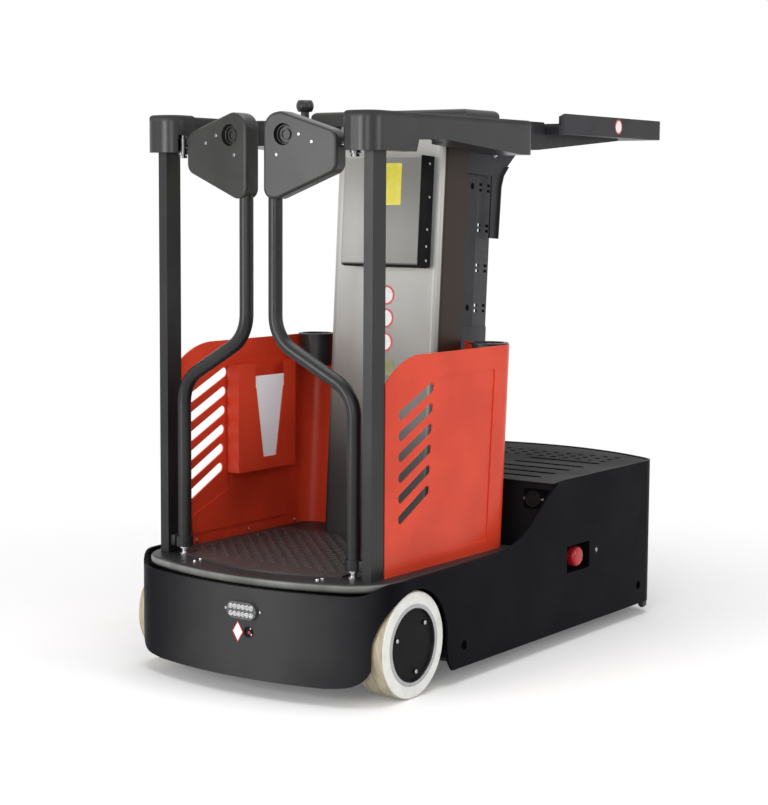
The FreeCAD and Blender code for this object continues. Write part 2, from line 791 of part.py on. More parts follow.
def make_post():
    x0 = post_x - post_wide
    tube = box(x0, post_x, post_front, post_back, deck_top, rail_bottom)
    w = post_wall
    hollow = box(x0 + w, post_x - w, post_front + w, post_back - w, deck_top - 1, rail_bottom + 1)
    return tube.cut(hollow)


def make_pivot_foot():
    # Chrome spool on the deck that the right gate's tube turns on.
    top = gate_foot - seat_gap
    foot = rod_z(spool_radius, pivot_x, pivot_y, deck_top, top)
    foot = foot.fuse(rod_z(spool_rim, pivot_x, pivot_y, deck_top, deck_top + spool_rim_high))
    foot = foot.fuse(rod_z(spool_rim, pivot_x, pivot_y, top - spool_rim_high, top))
    return foot.fuse(rod_z(pin_radius, pivot_x, pivot_y, deck_top, gate_foot + gate_collar[1]))


def make_pivot_head():
    # Bolt in the arm rest's hollow that holds the right gate's upper bush.
    low = bush_low - 8
    bolt = rod_z(pin_radius, pivot_x, pivot_y, low, hinge_room_top)
    bolt = bolt.fuse(rod_z(pin_radius + 4, pivot_x, pivot_y, low, bush_low - 1.5))
    return bolt.fuse(rod_z(pin_radius + 4, pivot_x, pivot_y, bush_high + 1.5, hinge_room_top))


def panel_section(z):
    # Plan of the sheet: side wall, rear corner and rear wall, as a closed band.
    cx = panel_x - panel_bend
    r0 = panel_bend
    r1 = panel_bend - panel_sheet
    y = panel_bend_y
    inner_end = guard_half + seat_gap
    front = post_front - 200
    d = math.sqrt(0.5)
    wire = Part.Wire([
        Part.makeLine(V(panel_x, front, z), V(panel_x, y, z)),
        Part.Arc(V(panel_x, y, z), V(cx + r0 * d, y + r0 * d, z), V(cx, y + r0, z)).toShape(),
        Part.makeLine(V(cx, y + r0, z), V(inner_end, y + r0, z)),
        Part.makeLine(V(inner_end, y + r0, z), V(inner_end, y + r1, z)),
        Part.makeLine(V(inner_end, y + r1, z), V(cx, y + r1, z)),
        Part.Arc(V(cx, y + r1, z), V(cx + r1 * d, y + r1 * d, z), V(cx + r1, y, z)).toShape(),
        Part.makeLine(V(cx + r1, y, z), V(cx + r1, front, z)),
        Part.makeLine(V(cx + r1, front, z), V(panel_x, front, z))])
    return Part.Face(wire)


def make_panel():
    # The right side panel: pressed sheet with six slots and a sunk field.
    low = deck_top
    high = panel_top
    top = high + 20
    band = panel_section(low).extrude(V(0, leaned_y(0, lean_z + top - low), top - low))
    front = post_back + seat_gap
    mid_y = (front + panel_curve_y) / 2 - panel_curve[0]
    mid_z = panel_front_top + (high - panel_front_top) * panel_curve[1]
    x = panel_x / 2
    back = panel_bend_y + 4 * panel_bend
    side = Part.Wire([
        Part.makeLine(V(x, front, low), V(x, front, panel_front_top)),
        Part.Arc(V(x, front, panel_front_top), V(x, mid_y, mid_z), V(x, panel_curve_y, high)).toShape(),
        Part.makeLine(V(x, panel_curve_y, high), V(x, back, high)),
        Part.makeLine(V(x, back, high), V(x, back, low)),
        Part.makeLine(V(x, back, low), V(x, front, low))])
    panel = band.common(Part.Face(side).extrude(V(panel_x, 0, 0)))
    field = rounded_polygon([(panel_x, y, z) for y, z in field_points], field_corner)
    sunk = field.extrude(V(-field_depth, 0, 0))
    behind = field.extrude(V(-panel_sheet - field_depth, 0, 0))
    panel = panel.fuse(behind).cut(sunk)
    for i in range(slot_count):
        a = V(0, slot_low[0], slot_low[1] + i * slot_pitch)
        b = V(0, slot_high[0] + i * slot_lean, slot_high[1] + i * slot_pitch)
        along = b - a
        cross = V(0, -along.z, along.y).normalize() * (slot_width / 2)
        x0 = panel_x - 20
        bar = prism([(x0, p.y, p.z) for p in (a - cross, b - cross, b + cross, a + cross)], (40, 0, 0))
        slot = bar.fuse(rod_x(slot_width / 2, x0, x0 + 40, a.y, a.z))
        slot = slot.fuse(rod_x(slot_width / 2, x0, x0 + 40, b.y, b.z))
        panel = panel.cut(slot)
    return panel.removeSplitter()


def make_cup():
    cx = panel_x - panel_bend
    cy = leaned_y(panel_bend_y, lean_z + panel_top - cup_depth / 2 - deck_top)
    low = panel_top - cup_depth
    inside = rod_z(cup_radius - cup_wall, cx, cy, low + cup_wall, panel_top + 10)
    rim = rod_z(panel_bend - 1, cx, cy, panel_top, panel_top + cup_rim)
    return rod_z(cup_radius, cx, cy, low, panel_top + cup_rim).fuse(rim).cut(inside)


def make_pocket():
    # Open at the top, with a window in its front.
    face = panel_x - panel_sheet
    front = face - pocket_deep
    y0, y1 = pocket_y
    z0, z1 = pocket_z
    w = pocket_sheet
    out = box(front, face, y0, y1, z0, z1)
    back = field_depth + seat_gap
    out = out.cut(box(front + w, face - back - w, y0 + w, y1 - w, z0 + w, z1 + 10))
    out = out.cut(box(face - back, face + 10, y0 - 1, y1 + 1, z0 - 1, z1 + 1))
    a, b, high = window_top
    c, d, low = window_low
    x = front - 5
    window = prism(((x, a, high), (x, b, high), (x, d, low), (x, c, low)), (pocket_deep / 2, 0, 0))
    notch = box(x, x + pocket_deep / 2, a, b, notch_low, z1 + 10)
    return mirror(out.cut(window).cut(notch))


def make_sheet():
    x = panel_x - panel_sheet - paper_ahead
    return mirror(box(x - paper_thick, x, *paper_y, *paper_z))


def make_guard():
    # Sheet guard that wraps the front and sides of the mast.
    y0 = guard_front
    s = guard_sheet
    high = guard_top + 60
    outer = box(-guard_half, guard_half, y0, guard_back + 50, lean_z - 2 * deck_plate, high)
    outer = outer.makeFillet(guard_bend, [e for e in upright_edges(outer, (-guard_half, guard_half))
                                          if e.Vertexes[0].Point.y < y0 + 1])
    half = guard_half - s
    inner = box(-half, half, y0 + s, guard_back + 100, 0, high + 1)
    inner = inner.makeFillet(guard_bend - s, [e for e in upright_edges(inner, (-half, half))
                                              if e.Vertexes[0].Point.y < y0 + s + 1])
    sleeve = outer.cut(inner).cut(box(-shell_half, shell_half, guard_back, guard_back + 200, 0, high))
    return leaned(sleeve).common(box(-shell_half, shell_half, 0, tail_y, deck_bottom, guard_top))


def make_control_box():
    front = guard_front - box_deep
    case = box(box_left, box_right, front, guard_front - seat_gap, box_low, box_high)
    edges = [e for e in case.Edges if abs(e.BoundBox.YMin - front) < 0.1 and e.BoundBox.YLength < 0.1]
    return leaned(case.makeFillet(box_edge, edges))


def make_arm_rest():
    # The right arm rest: a wide block at the gate, slim beside the open gate, wide at the console.
    x = rest_inner - 10
    low = rail_bottom
    points = [(rest_front, low)] + [(y, low + up) for y, up in under_points]
    points += [(rest_back, low + under_points[-1][1]), (rest_back, rail_top), (rest_front, rail_top)]
    bar = prism([(x, y, z) for y, z in points], (200, 0, 0))
    z = low - 1
    plan = rounded_polygon(((rest_inner, rest_front, z), (rest_half, rest_front, z),
                            (rest_half, rest_back, z), (rest_inner, rest_back, z)),
                           (rest_front_corner, rest_front_corner, rest_back_corner, rest_back_corner))
    bar = bar.common(plan.extrude(V(0, 0, 200)))
    room = rounded_polygon(((rest_inner - 60, block_back, z), (rest_slim, block_back, z),
                            (rest_slim, slim_back, z), (rest_inner - 60, slim_back + 40, z)), 12)
    bar = bar.cut(room.extrude(V(0, 0, 200)))
    bar = bar.makeFillet(rest_top_edge, level_edges(bar, rail_top))
    half = hinge_room_half
    return bar.cut(box(x, pivot_x + half, hinge_room_front, block_back + 1, low - 1, hinge_room_top))


def make_console():
    z0 = guard_top + seat_gap
    half = rest_inner - seat_gap
    body = box(-half, half, console_front, rest_back - 4, z0, console_top)
    return body.makeFillet(console_edge, level_edges(body, console_top))


def make_knob():
    radius, high = knob_stem
    stem = rod_z(radius, -knob_x, knob_y, rail_top, rail_top + high)
    middle = rail_top + high + knob_radius / 2
    head = Part.makeSphere(knob_radius, V(-knob_x, knob_y, middle))
    cap = 0.65 * knob_radius
    reach = 2 * knob_radius
    return stem.fuse(head.common(box(-knob_x - reach, -knob_x + reach, knob_y - reach, knob_y + reach,
                                     middle - cap, middle + cap)))


def tray_plan(inset, z):
    x = tray_half - inset
    y0 = tray_front + inset
    y1 = tray_back - inset
    return rounded_polygon(((-x, y0, z), (x, y0, z), (x, y1, z), (-x, y1, z)), tray_corner - inset)


def make_tray():
    # Folded tray, low in front, its side lips rounded off there.
    t = tray_sheet
    tray = tray_plan(0, tray_bottom).extrude(V(0, 0, tray_lip))
    tray = tray.cut(tray_plan(t, tray_bottom + t).extrude(V(0, 0, tray_lip)))
    r = tray_lip_corner
    top = tray_bottom + tray_lip
    x = -tray_half - 5
    y = tray_front - 5
    low = tray_bottom + tray_front_lip
    open_front = rounded_polygon(((x, y - 60, low), (x, y + 5 + t, low), (x, y + 5 + t, top + 60),
                                  (x, y - 60, top + 60)), 2)
    round_lip = box(x, -x, tray_front - 1, tray_front + r, top - r, top + 1)
    round_lip = round_lip.cut(rod_x(r, x, -x, tray_front + r, top - r))
    inner = tray_half - t
    open_front = open_front.extrude(V(2 * tray_half + 10, 0, 0)).common(
        box(-inner, inner, y - 100, y + 100, low, top + 60))
    return tray.cut(open_front).cut(round_lip)


def make_tray_arms():
    # Two tapered arms from the arm rests' ends to under the tray, joined by a cross tube.
    body = None
    x = tray_arm_x - tray_arm_wide / 2
    end_y, end_z = tray_arm_end
    for side in (0, 1):
        arm = prism(((x, rest_back, tray_arm_low), (x, *tray_arm_knee), (x, end_y, end_z),
                     (x, end_y, tray_bottom), (x, tray_front, tray_bottom),
                     (x, tray_front - 4, tray_arm_top), (x, rest_back, tray_arm_top)),
                    (tray_arm_wide, 0, 0))
        arm = arm if side == 0 else mirror(arm)
        body = arm if body is None else body.fuse(arm)
    return body.fuse(box(-tray_arm_x, tray_arm_x, *tube_y, tube_low, tray_bottom)).removeSplitter()


def make_hanger():
    # Plate beside the right mast rail, under the cross tube, with a flange along its rear edge.
    points = [(hanger_half, mast_front + y, z) for y, z in hanger_points]
    plate = prism(points, (hanger_sheet, 0, 0))
    rear = [(hanger_half, mast_front + y, z) for y, z in hanger_rear]
    strip = rear + [(x, y - hanger_sheet, z) for x, y, z in reversed(rear)]
    plate = plate.fuse(prism(strip, (hanger_flange, 0, 0)))
    reach = hanger_half + hanger_flange
    plate = leaned(plate).cut(box(0, reach, tube_y[0], tail_y, tube_low, body_top + tube_low))
    return plate.common(box(0, reach, 0, tail_y, 0, tray_bottom)).removeSplitter()


def gate_point(s, z):
    # The right gate is drawn with its free end towards the left and a little outwards.
    a = math.radians(gate_splay)
    return V(pivot_x - s * math.cos(a), pivot_y - s * math.sin(a), z)


def pipe(points, radius, wall, bend):
    # A bent tube: straight runs joined by arcs of one radius.
    edges = []
    last = points[0]
    for i in range(1, len(points) - 1):
        before = (points[i - 1] - points[i]).normalize()
        after = (points[i + 1] - points[i]).normalize()
        half = before.getAngle(after) / 2
        reach = bend / math.tan(half)
        start = points[i] + before * reach
        end = points[i] + after * reach
        inward = (before + after).normalize()
        middle = points[i] + inward * (bend / math.sin(half) - bend)
        edges.append(Part.makeLine(last, start))
        edges.append(Part.Arc(start, middle, end).toShape())
        last = end
    edges.append(Part.makeLine(last, points[-1]))
    path = Part.Wire(edges)
    solids = []
    for r in (radius, radius - wall):
        circle = Part.Wire(Part.makeCircle(r, points[0], points[1] - points[0]))
        solids.append(path.makePipeShell([circle], True, True))
    return solids[0].cut(solids[1])


def make_gate_tube():
    points = [gate_point(0, gate_foot), gate_point(0, gate_elbow),
              gate_point(*gate_knee), gate_point(gate_knee[0], gate_head)]
    tube = pipe(points, gate_tube, gate_wall, gate_bend_radius)
    radius, high = gate_collar
    collar = rod_z(radius, pivot_x, pivot_y, gate_foot, gate_foot + high)
    collar = collar.cut(rod_z(pin_radius + seat_gap, pivot_x, pivot_y, gate_foot - 1, gate_foot + high + 1))
    return tube.fuse(collar)


def make_gate_pad():
    # Housing at the head of the right gate, with its recessed grip hole.
    a = math.radians(gate_splay)
    normal = V(-math.sin(a), math.cos(a), 0)
    start = normal * (-pad_thick / 2)
    face = rounded_polygon([gate_point(s, z) + start for s, z, r in pad_points],
                           [r for s, z, r in pad_points])
    pad = face.extrude(normal * pad_thick)
    rims = [e for e in pad.Edges if e.Length > 1 and abs(e.tangentAt(e.FirstParameter).dot(normal)) < 0.01]
    pad = pad.makeFillet(pad_edge, rims)
    centre = gate_point(*pad_hole)
    pad = pad.cut(Part.makeCylinder(pad_hole_radius, pad_hole_deep, centre + start, normal))
    low = min(z for s, z, r in pad_points) - 10
    return pad.cut(Part.makeCylinder(gate_tube + seat_gap, gate_head + 2 - low,
                                     gate_point(gate_knee[0], low), V(0, 0, 1)))


def make_gate_bush():
    # Upper bush of the right gate and the stub that ties it to the housing.
    bush = rod_z(bush_radius, pivot_x, pivot_y, bush_low, bush_high)
    z = (bush_low + bush_high) / 2
    a = gate_point(bush_radius / 2, z)
    b = gate_point(pad_points[0][0], z)
    stub = Part.makeCylinder(bush_radius / 2, (b - a).Length, a, b - a)
    bush = bush.fuse(stub)
    return bush.cut(rod_z(pin_radius + seat_gap, pivot_x, pivot_y, bush_low - 10, bush_high + 10))


def make_stop_pocket():
    w = stop_wall
    x1 = shell_half - shell_wall
    x0 = x1 - stop_deep
    half_wide = stop_wide / 2
    half_high = stop_high / 2
    tub = box(x0, x1, stop_y - half_wide - w, stop_y + half_wide + w,
              stop_z - half_high - w, stop_z + half_high + w)
    return tub.cut(box(x0 + w, x1 + 5, stop_y - half_wide, stop_y + half_wide,
                       stop_z - half_high, stop_z + half_high))


def make_stop_button():
    x0 = shell_half - shell_wall - stop_deep + stop_wall
    radius, long = stop_stem
    stem = rod_x(radius, x0, x0 + long, stop_y, stop_z)
    face = x0 + long + stop_cap
    cap = rod_x(stop_radius, x0 + long - 2, face, stop_y, stop_z)
    crown = [e for e in cap.Edges if abs(e.BoundBox.XMin - face) < 0.1 and e.BoundBox.XLength < 0.1]
    return stem.fuse(cap.makeFillet(8, crown))


def make_key_switch():
    face = shell_half - 0.5
    lock = rod_x(key_radius, face - key_deep, face, key_y, key_z)
    return lock.cut(box(face - 4, face + 1, key_y - 1, key_y + 1, key_z - 5, key_z + 5))


def make_socket():
    half_wide, half_high, thick = socket_plate
    cap = rod_y(socket_radius, socket_x, bulkhead_y - socket_cap, bulkhead_y, socket_z)
    plate = box(socket_x - half_wide, socket_x + half_wide, bulkhead_y - thick, bulkhead_y,
                socket_z - half_high, socket_z + half_high)
    return cap.fuse(plate)


def make_headlight():
    # Oval lamp with its lenses, set in front of the bumper sheet.
    reach = light_half - light_radius / 3
    back = light_y + 4
    block = box(light_x - reach, light_x + reach, light_front, back,
                light_z - light_radius, light_z + light_radius)
    for x in (light_x - reach, light_x + reach):
        block = block.fuse(rod_y(light_radius, x, light_front, back, light_z))
    for i in range(lens_columns):
        x = light_x + (i - (lens_columns - 1) / 2) * lens_pitch
        for up in lens_rows:
            block = block.fuse(rod_y(lens_radius, x, light_front - lens_proud, light_front, light_z + up))
    return block.cut(shell_block(0, 0, body_top))


def main():
    os.makedirs("parts", exist_ok=True)
    write("chassis_shell", make_shell())
    write("chassis_floor", make_floor())
    write("front_bulkhead", make_bulkhead())
    write("top_cover", make_cover())
    write("battery_block", make_battery())
    write("headlight", make_headlight())
    write("stop_pocket", make_stop_pocket())
    write("stop_button", make_stop_button())
    write("key_switch", make_key_switch())
    write("charge_socket", make_socket())
    write("outer_mast", make_outer_mast())
    write("lift_barrel", make_barrel())
    write("lift_rod", make_rod())
    write("middle_mast", make_stage(middle_half, middle_half - flange_reach, middle_back,
                                    middle_foot, middle_top, stage_step, True))
    write("inner_mast", make_stage(inner_half, inner_half - flange_reach, inner_back,
                                   inner_foot, inner_top, stage_step, False))
    write("carriage", make_carriage())
    write("deck", make_deck())
    write("deck_mat", make_mat())
    write("mast_guard", make_guard())
    write("control_box", make_control_box())
    write("console", make_console())
    write("steering_knob", make_knob())
    write("goods_tray", make_tray())
    write("tray_arms", make_tray_arms())
    write("document_pocket", make_pocket())
    write("document_sheet", make_sheet())
    sided = (("drive_tyre", make_tyre), ("drive_hub", make_hub), ("hub_cover", make_hub_cover),
             ("drive_unit", make_drive_unit), ("caster_fork", make_caster_fork),
             ("caster_wheel", make_caster_wheel), ("post", make_post), ("pivot_foot", make_pivot_foot),
             ("pivot_head", make_pivot_head), ("side_panel", make_panel), ("cup", make_cup),
             ("arm_rest", make_arm_rest), ("hanger", make_hanger), ("gate_tube", make_gate_tube),
             ("gate_pad", make_gate_pad), ("gate_bush", make_gate_bush))
    for name, make in sided:
        shape = make()
        write(name + "_right", shape)
        write(name + "_left", mirror(shape))


main()
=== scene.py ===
import json
import math
import bmesh
import bpy
from mathutils import Matrix, Vector


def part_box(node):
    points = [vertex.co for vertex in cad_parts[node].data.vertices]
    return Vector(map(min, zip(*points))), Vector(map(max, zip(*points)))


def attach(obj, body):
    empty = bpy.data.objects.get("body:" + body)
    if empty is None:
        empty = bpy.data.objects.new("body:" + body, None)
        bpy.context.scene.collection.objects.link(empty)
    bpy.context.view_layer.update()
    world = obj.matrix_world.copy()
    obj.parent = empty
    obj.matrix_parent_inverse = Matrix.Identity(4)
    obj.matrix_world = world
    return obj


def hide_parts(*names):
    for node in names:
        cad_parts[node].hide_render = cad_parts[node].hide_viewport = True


# Order picker truck: finishes for the solid pieces, and the small pieces that dress them.
# Metres, in the frame of the solids: X to the truck's right, Y towards the machine end.

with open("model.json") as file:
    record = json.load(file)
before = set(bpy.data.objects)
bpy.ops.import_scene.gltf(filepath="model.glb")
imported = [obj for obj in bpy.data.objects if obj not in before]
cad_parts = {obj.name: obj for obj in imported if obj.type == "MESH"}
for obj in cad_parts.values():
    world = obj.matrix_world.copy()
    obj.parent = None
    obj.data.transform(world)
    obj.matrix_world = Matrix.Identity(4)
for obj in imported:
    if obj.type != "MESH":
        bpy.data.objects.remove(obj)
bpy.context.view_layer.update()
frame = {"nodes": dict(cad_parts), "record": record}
nodes = frame["nodes"]
SIDES = ("left", "right")
HAND = {"left": -1, "right": 1}
X, Y, Z = range(3)
# Sockets of a Mix node set to colours: its share, its two colours and its result
MIX_SHARE, MIX_LOW, MIX_HIGH, MIX_RESULT = 0, 6, 7, 2


# Shader maths

class Term:
    """One output of a shader node. Arithmetic on it adds Math nodes to its finish."""

    def __init__(self, finish, socket):
        self.finish = finish
        self.socket = socket

    def sum(self, operation, *terms):
        return self.finish.node("ShaderNodeMath", {"operation": operation}, dict(enumerate(terms)))

    def __add__(self, other):
        return self.sum("ADD", self, other)

    def __sub__(self, other):
        return self.sum("SUBTRACT", self, other)

    def __rsub__(self, other):
        return self.sum("SUBTRACT", other, self)

    def __mul__(self, other):
        return self.sum("MULTIPLY", self, other)

    def __abs__(self):
        return self.sum("ABSOLUTE", self)

    __radd__ = __add__
    __rmul__ = __mul__

    def ramp(self, low, high):
        """0 below low and 1 above high, with a smooth change between them."""
        return self.finish.node("ShaderNodeMapRange", {"interpolation_type": "SMOOTHSTEP"},
                                {"Value": self, "From Min": low, "From Max": high})


class Finish:
    """A material whose surface is one Principled shader."""

    def __init__(self, name, colour, roughness, metallic=0.0, **fixed):
        self.material = bpy.data.materials.new(name)
        self.material.use_nodes = True
        self.tree = self.material.node_tree
        self.surface = self.tree.nodes["Principled BSDF"]
        self.feed("Base Color", (*colour, 1))
        self.feed("Roughness", roughness)
        self.feed("Metallic", metallic)
        for name, value in fixed.items():
            self.feed(name.replace("_", " ").title().replace("Ior", "IOR"), value)
        self.place = self.node("ShaderNodeTexCoord", {}, {}, "Object")

    def node(self, kind, settings, sockets, out=0):
        made = self.tree.nodes.new(kind)
        for name, value in settings.items():
            setattr(made, name, value)
        for name, value in sockets.items():
            self.join(made.inputs[name], value)
        return Term(self, made.outputs[out])

    def join(self, socket, value):
        if isinstance(value, Term):
            self.tree.links.new(value.socket, socket)
        else:
            socket.default_value = value

    def feed(self, name, value):
        self.join(self.surface.inputs[name], value)

    def noise(self, scale, detail=2.0, stretch=(1, 1, 1)):
        place = self.node("ShaderNodeMapping", {}, {"Vector": self.place, "Scale": stretch})
        return self.node("ShaderNodeTexNoise", {}, {"Vector": place, "Scale": scale, "Detail": detail})

    def along(self, axis):
        return self.node("ShaderNodeSeparateXYZ", {}, {"Vector": self.place}, axis)

    def blend(self, share, low, high):
        """Mixes two colours. Each is a triple or what another node gives."""
        low, high = (end if isinstance(end, Term) else (*end, 1) for end in (low, high))
        return self.node("ShaderNodeMix", {"data_type": "RGBA"},
                         {MIX_SHARE: share, MIX_LOW: low, MIX_HIGH: high}, MIX_RESULT)

    def bump(self, height, depth):
        self.feed("Normal", self.node("ShaderNodeBump", {}, {"Height": height, "Distance": depth}))

    def peel(self):
        """The fine orange peel of sprayed paint."""
        self.bump(self.noise(900.0, 1.5), 0.00006)


def powder_coat(name, dark, light, roughness, **fixed):
    """Sprayed and baked paint: fine orange peel, faint cloudy change of shade and gloss."""
    paint = Finish(name, light, roughness, **fixed)
    cloud = paint.noise(6.0, 3.0)
    paint.feed("Base Color", paint.blend(cloud.ramp(0.3, 0.7), dark, light))
    rub = paint.noise(38.0, 5.0).ramp(0.45, 0.75)
    paint.feed("Roughness", roughness + rub * 0.07 - cloud * 0.03)
    paint.peel()
    return paint.material


def chassis_paint(name):
    """Black paint of the chassis, with a painted highlight that makes the front of the bumper greyer."""
    paint = Finish(name, (0.006, 0.006, 0.007), 0.36, specular_ior_level=0.02)
    cloud = paint.noise(5.0, 4.0)
    black = paint.blend(cloud.ramp(0.3, 0.7), (0.004, 0.004, 0.006), (0.007, 0.007, 0.009))
    # Painted highlight on the bumper's front: a grey that is absent at the left end, full near the middle
    # and weaker to the right.
    painted_highlight_grey = paint.blend(cloud.ramp(0.3, 0.7), (0.040, 0.040, 0.041), (0.052, 0.052, 0.053))
    highlight_spread = paint.along(X).ramp(-0.34, 0.02) * (1.0 - 0.6 * paint.along(X).ramp(0.10, 0.36))
    nose = (paint.along(Y) * -1.0).ramp(0.62, 0.70) * highlight_spread
    paint.feed("Base Color", paint.blend(nose, black, painted_highlight_grey))
    paint.feed("Roughness", 0.34 + paint.noise(30.0, 5.0).ramp(0.4, 0.8) * 0.10)
    paint.peel()
    return paint.material


# Heights between which the painted highlight on the deck's front edge grows from dim to bright, and where it
# ends
EDGE_HIGHLIGHT = (0.259, 0.275)
EDGE_HIGHLIGHT_END = (0.2755, 0.2785)


def deck_paint(name):
    """Black deck plate with a painted highlight along its front edge, brighter towards the top of the edge,
    in patches.
    """
    paint = Finish(name, (0.02, 0.02, 0.022), 0.40, specular_ior_level=0.16)
    black = paint.blend(paint.noise(6.0, 3.0).ramp(0.3, 0.7), (0.014, 0.014, 0.015), (0.022, 0.022, 0.024))
    patch = paint.noise(11.0, 3.0).ramp(0.25, 0.75)
    up = paint.along(Z)
    # Painted highlight on the deck's front edge: dim at its foot, bright near its top, uneven in patches
    dull = paint.blend(up.ramp(*EDGE_HIGHLIGHT), (0.035, 0.035, 0.034), (0.11, 0.11, 0.105))
    bright_highlight = paint.blend(up.ramp(*EDGE_HIGHLIGHT), (0.060, 0.060, 0.058), (0.22, 0.22, 0.21))
    uneven_painted_light = paint.blend(patch, dull, bright_highlight)
    share = (1.0 - up.ramp(*EDGE_HIGHLIGHT_END)) * (paint.along(Y) * -1.0).ramp(0.50, 0.66)
    paint.feed("Base Color", paint.blend(share, black, uneven_painted_light))
    paint.feed("Roughness", 0.42 - share * 0.10)
    paint.peel()
    return paint.material


# Half widths between which the guard's face turns into its side
GUARD_SIDE = (0.1615, 0.1635)


def guard_sheet(name, bright, left):
    """Satin sheet of the guard and its box, with painted reflections: bright above, dark near the feet,
    brown at its bent sides.
    """
    sheet = Finish(name, (0.4, 0.4, 0.38), 0.38, 0.35, specular_ior_level=0.2)
    # Painted reflections: dark near the feet and bright above, with an uneven edge between them, lighter to
    # the left, and brown on the bent sides
    uneven_painted_light = sheet.noise(9.0, 4.0) * 0.10
    height = (sheet.along(Z) + uneven_painted_light).ramp(0.44, 1.22)
    painted_reflection = sheet.blend(sheet.along(X).ramp(-0.10, 0.06), left, bright)
    front = sheet.blend(height, (0.035, 0.035, 0.034), painted_reflection)
    side = abs(sheet.along(X)).ramp(*GUARD_SIDE)
    sheet.feed("Base Color", sheet.blend(side, front, (0.034, 0.021, 0.014)))
    brush = sheet.noise(160.0, 4.0, (1, 1, 0.03))
    sheet.feed("Roughness", 0.34 + brush * 0.12)
    sheet.bump(brush, 0.00002)
    return sheet.material


def moulded_plastic(name, dark, light, roughness, **fixed):
    """Injection-moulded housing with a spark-eroded grain."""
    plastic = Finish(name, light, roughness, **fixed)
    grain = plastic.noise(1500.0, 2.0)
    plastic.feed("Base Color", plastic.blend(plastic.noise(9.0).ramp(0.35, 0.7), dark, light))
    plastic.feed("Roughness", roughness - 0.05 + grain * 0.1)
    plastic.bump(grain, 0.00009)
    return plastic.material


# Heights between which the arm rests turn dull
REST_TOP = (1.318, 1.334)


def arm_rest_moulding(name):
    """Glossy moulding, rubbed dull on top by arms."""
    plastic = Finish(name, (0.02, 0.02, 0.02), 0.3, specular_ior_level=0.36)
    grain = plastic.noise(1500.0, 2.0)
    top = plastic.along(Z).ramp(*REST_TOP)
    plastic.feed("Base Color", plastic.blend(plastic.noise(9.0).ramp(0.35, 0.7), (0.013, 0.013, 0.014),
                                             (0.020, 0.020, 0.021)))
    plastic.feed("Roughness", 0.26 + grain * 0.08 + top * 0.55)
    plastic.bump(grain, 0.00008)
    return plastic.material


def rolled_steel(name, dark, light):
    """Plated or turned steel with faint draw lines."""
    steel = Finish(name, light, 0.25, 1.0)
    lines = steel.noise(300.0, 3.0, (1, 1, 0.05))
    steel.feed("Roughness", 0.17 + lines * 0.2)
    steel.feed("Base Color", steel.blend(steel.noise(40.0), dark, light))
    steel.bump(lines, 0.00003)
    return steel.material


def tyre_band(name, dark, light, roughness, wear):
    """Solid tyre: clean flanks, and a band that is dulled in streaks round it where it rolls."""
    band = Finish(name, light, roughness)
    streak = band.noise(26.0, 5.0, (4, 1, 1))
    fine = band.noise(240.0, 4.0)
    share = streak.ramp(0.42, 0.85) * wear + fine * 0.06
    band.feed("Base Color", band.blend(share, light, dark))
    band.feed("Roughness", roughness + streak * 0.12)
    band.bump(fine, 0.0001)
    return band.material


# Half widths of the truck between which a drive tyre's band turns into its outer flank
TYRE_FLANK = (0.3655, 0.3672)


def cream_tyre(name):
    """Polyurethane tyre: pale clean flanks, and a browned band where it rolls."""
    band = Finish(name, (0.7, 0.7, 0.66), 0.42)
    streak = band.noise(26.0, 5.0, (4, 1, 1))
    fine = band.noise(240.0, 4.0)
    flank = band.blend(streak.ramp(0.35, 0.8), (0.78, 0.78, 0.75), (0.66, 0.66, 0.62))
    rolled = band.blend(streak.ramp(0.3, 0.7), (0.43, 0.38, 0.27), (0.28, 0.23, 0.15))
    outer = abs(band.along(X)).ramp(*TYRE_FLANK)
    band.feed("Base Color", band.blend(outer, rolled, flank))
    band.feed("Roughness", 0.42 + streak * 0.12)
    band.bump(fine, 0.0001)
    return band.material


def mat_rubber(name):
    rubber = Finish(name, (0.02, 0.02, 0.02), 0.6)
    dust = rubber.noise(70.0, 6.0).ramp(0.5, 0.85)
    rubber.feed("Base Color", rubber.blend(dust, (0.022, 0.018, 0.018), (0.060, 0.050, 0.048)))
    rubber.feed("Roughness", 0.46 + dust * 0.25)
    rubber.bump(rubber.noise(1100.0, 2.0), 0.00008)
    return rubber.material


def paper(name):
    sheet = Finish(name, (0.78, 0.81, 0.87), 0.8)
    crease = sheet.noise(26.0, 3.0)
    sheet.feed("Base Color", sheet.blend(crease, (0.88, 0.89, 0.96), (0.96, 0.97, 1.0)))
    sheet.bump(crease, 0.0012)
    return sheet.material


def lamp_lens(name):
    """Clear lens with a dark rim behind its face."""
    lens = Finish(name, (0.75, 0.78, 0.80), 0.12, coat_weight=0.3)
    facets = lens.node("ShaderNodeTexVoronoi", {"feature": "F1"},
                       {"Vector": lens.place, "Scale": 420.0}, "Distance")
    clear = lens.blend(facets.ramp(0.1, 0.7), (0.62, 0.63, 0.64), (0.26, 0.27, 0.28))
    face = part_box("headlight")[0][Y]
    rim = lens.along(Y).ramp(face + 0.0008, face + 0.0022)
    lens.feed("Base Color", lens.blend(rim, clear, (0.05, 0.05, 0.05)))
    lens.bump(facets, 0.0006)
    return lens.material


def printed_sticker(name, colour, faded):
    """Vinyl sticker with nothing printed on its face, faded in patches."""
    vinyl = Finish(name, colour, 0.35)
    patch = vinyl.noise(45.0, 3.0).ramp(0.35, 0.8)
    vinyl.feed("Base Color", vinyl.blend(patch, colour, faded))
    vinyl.feed("Roughness", 0.30 + patch * 0.15)
    return vinyl.material


def signal_red(name):
    red = Finish(name, (0.40, 0.01, 0.015), 0.25, specular_ior_level=0.35)
    shade = red.noise(60.0)
    red.feed("Base Color", red.blend(shade, (0.34, 0.008, 0.014), (0.46, 0.016, 0.022)))
    red.feed("Roughness", 0.18 + shade * 0.1)
    return red.material


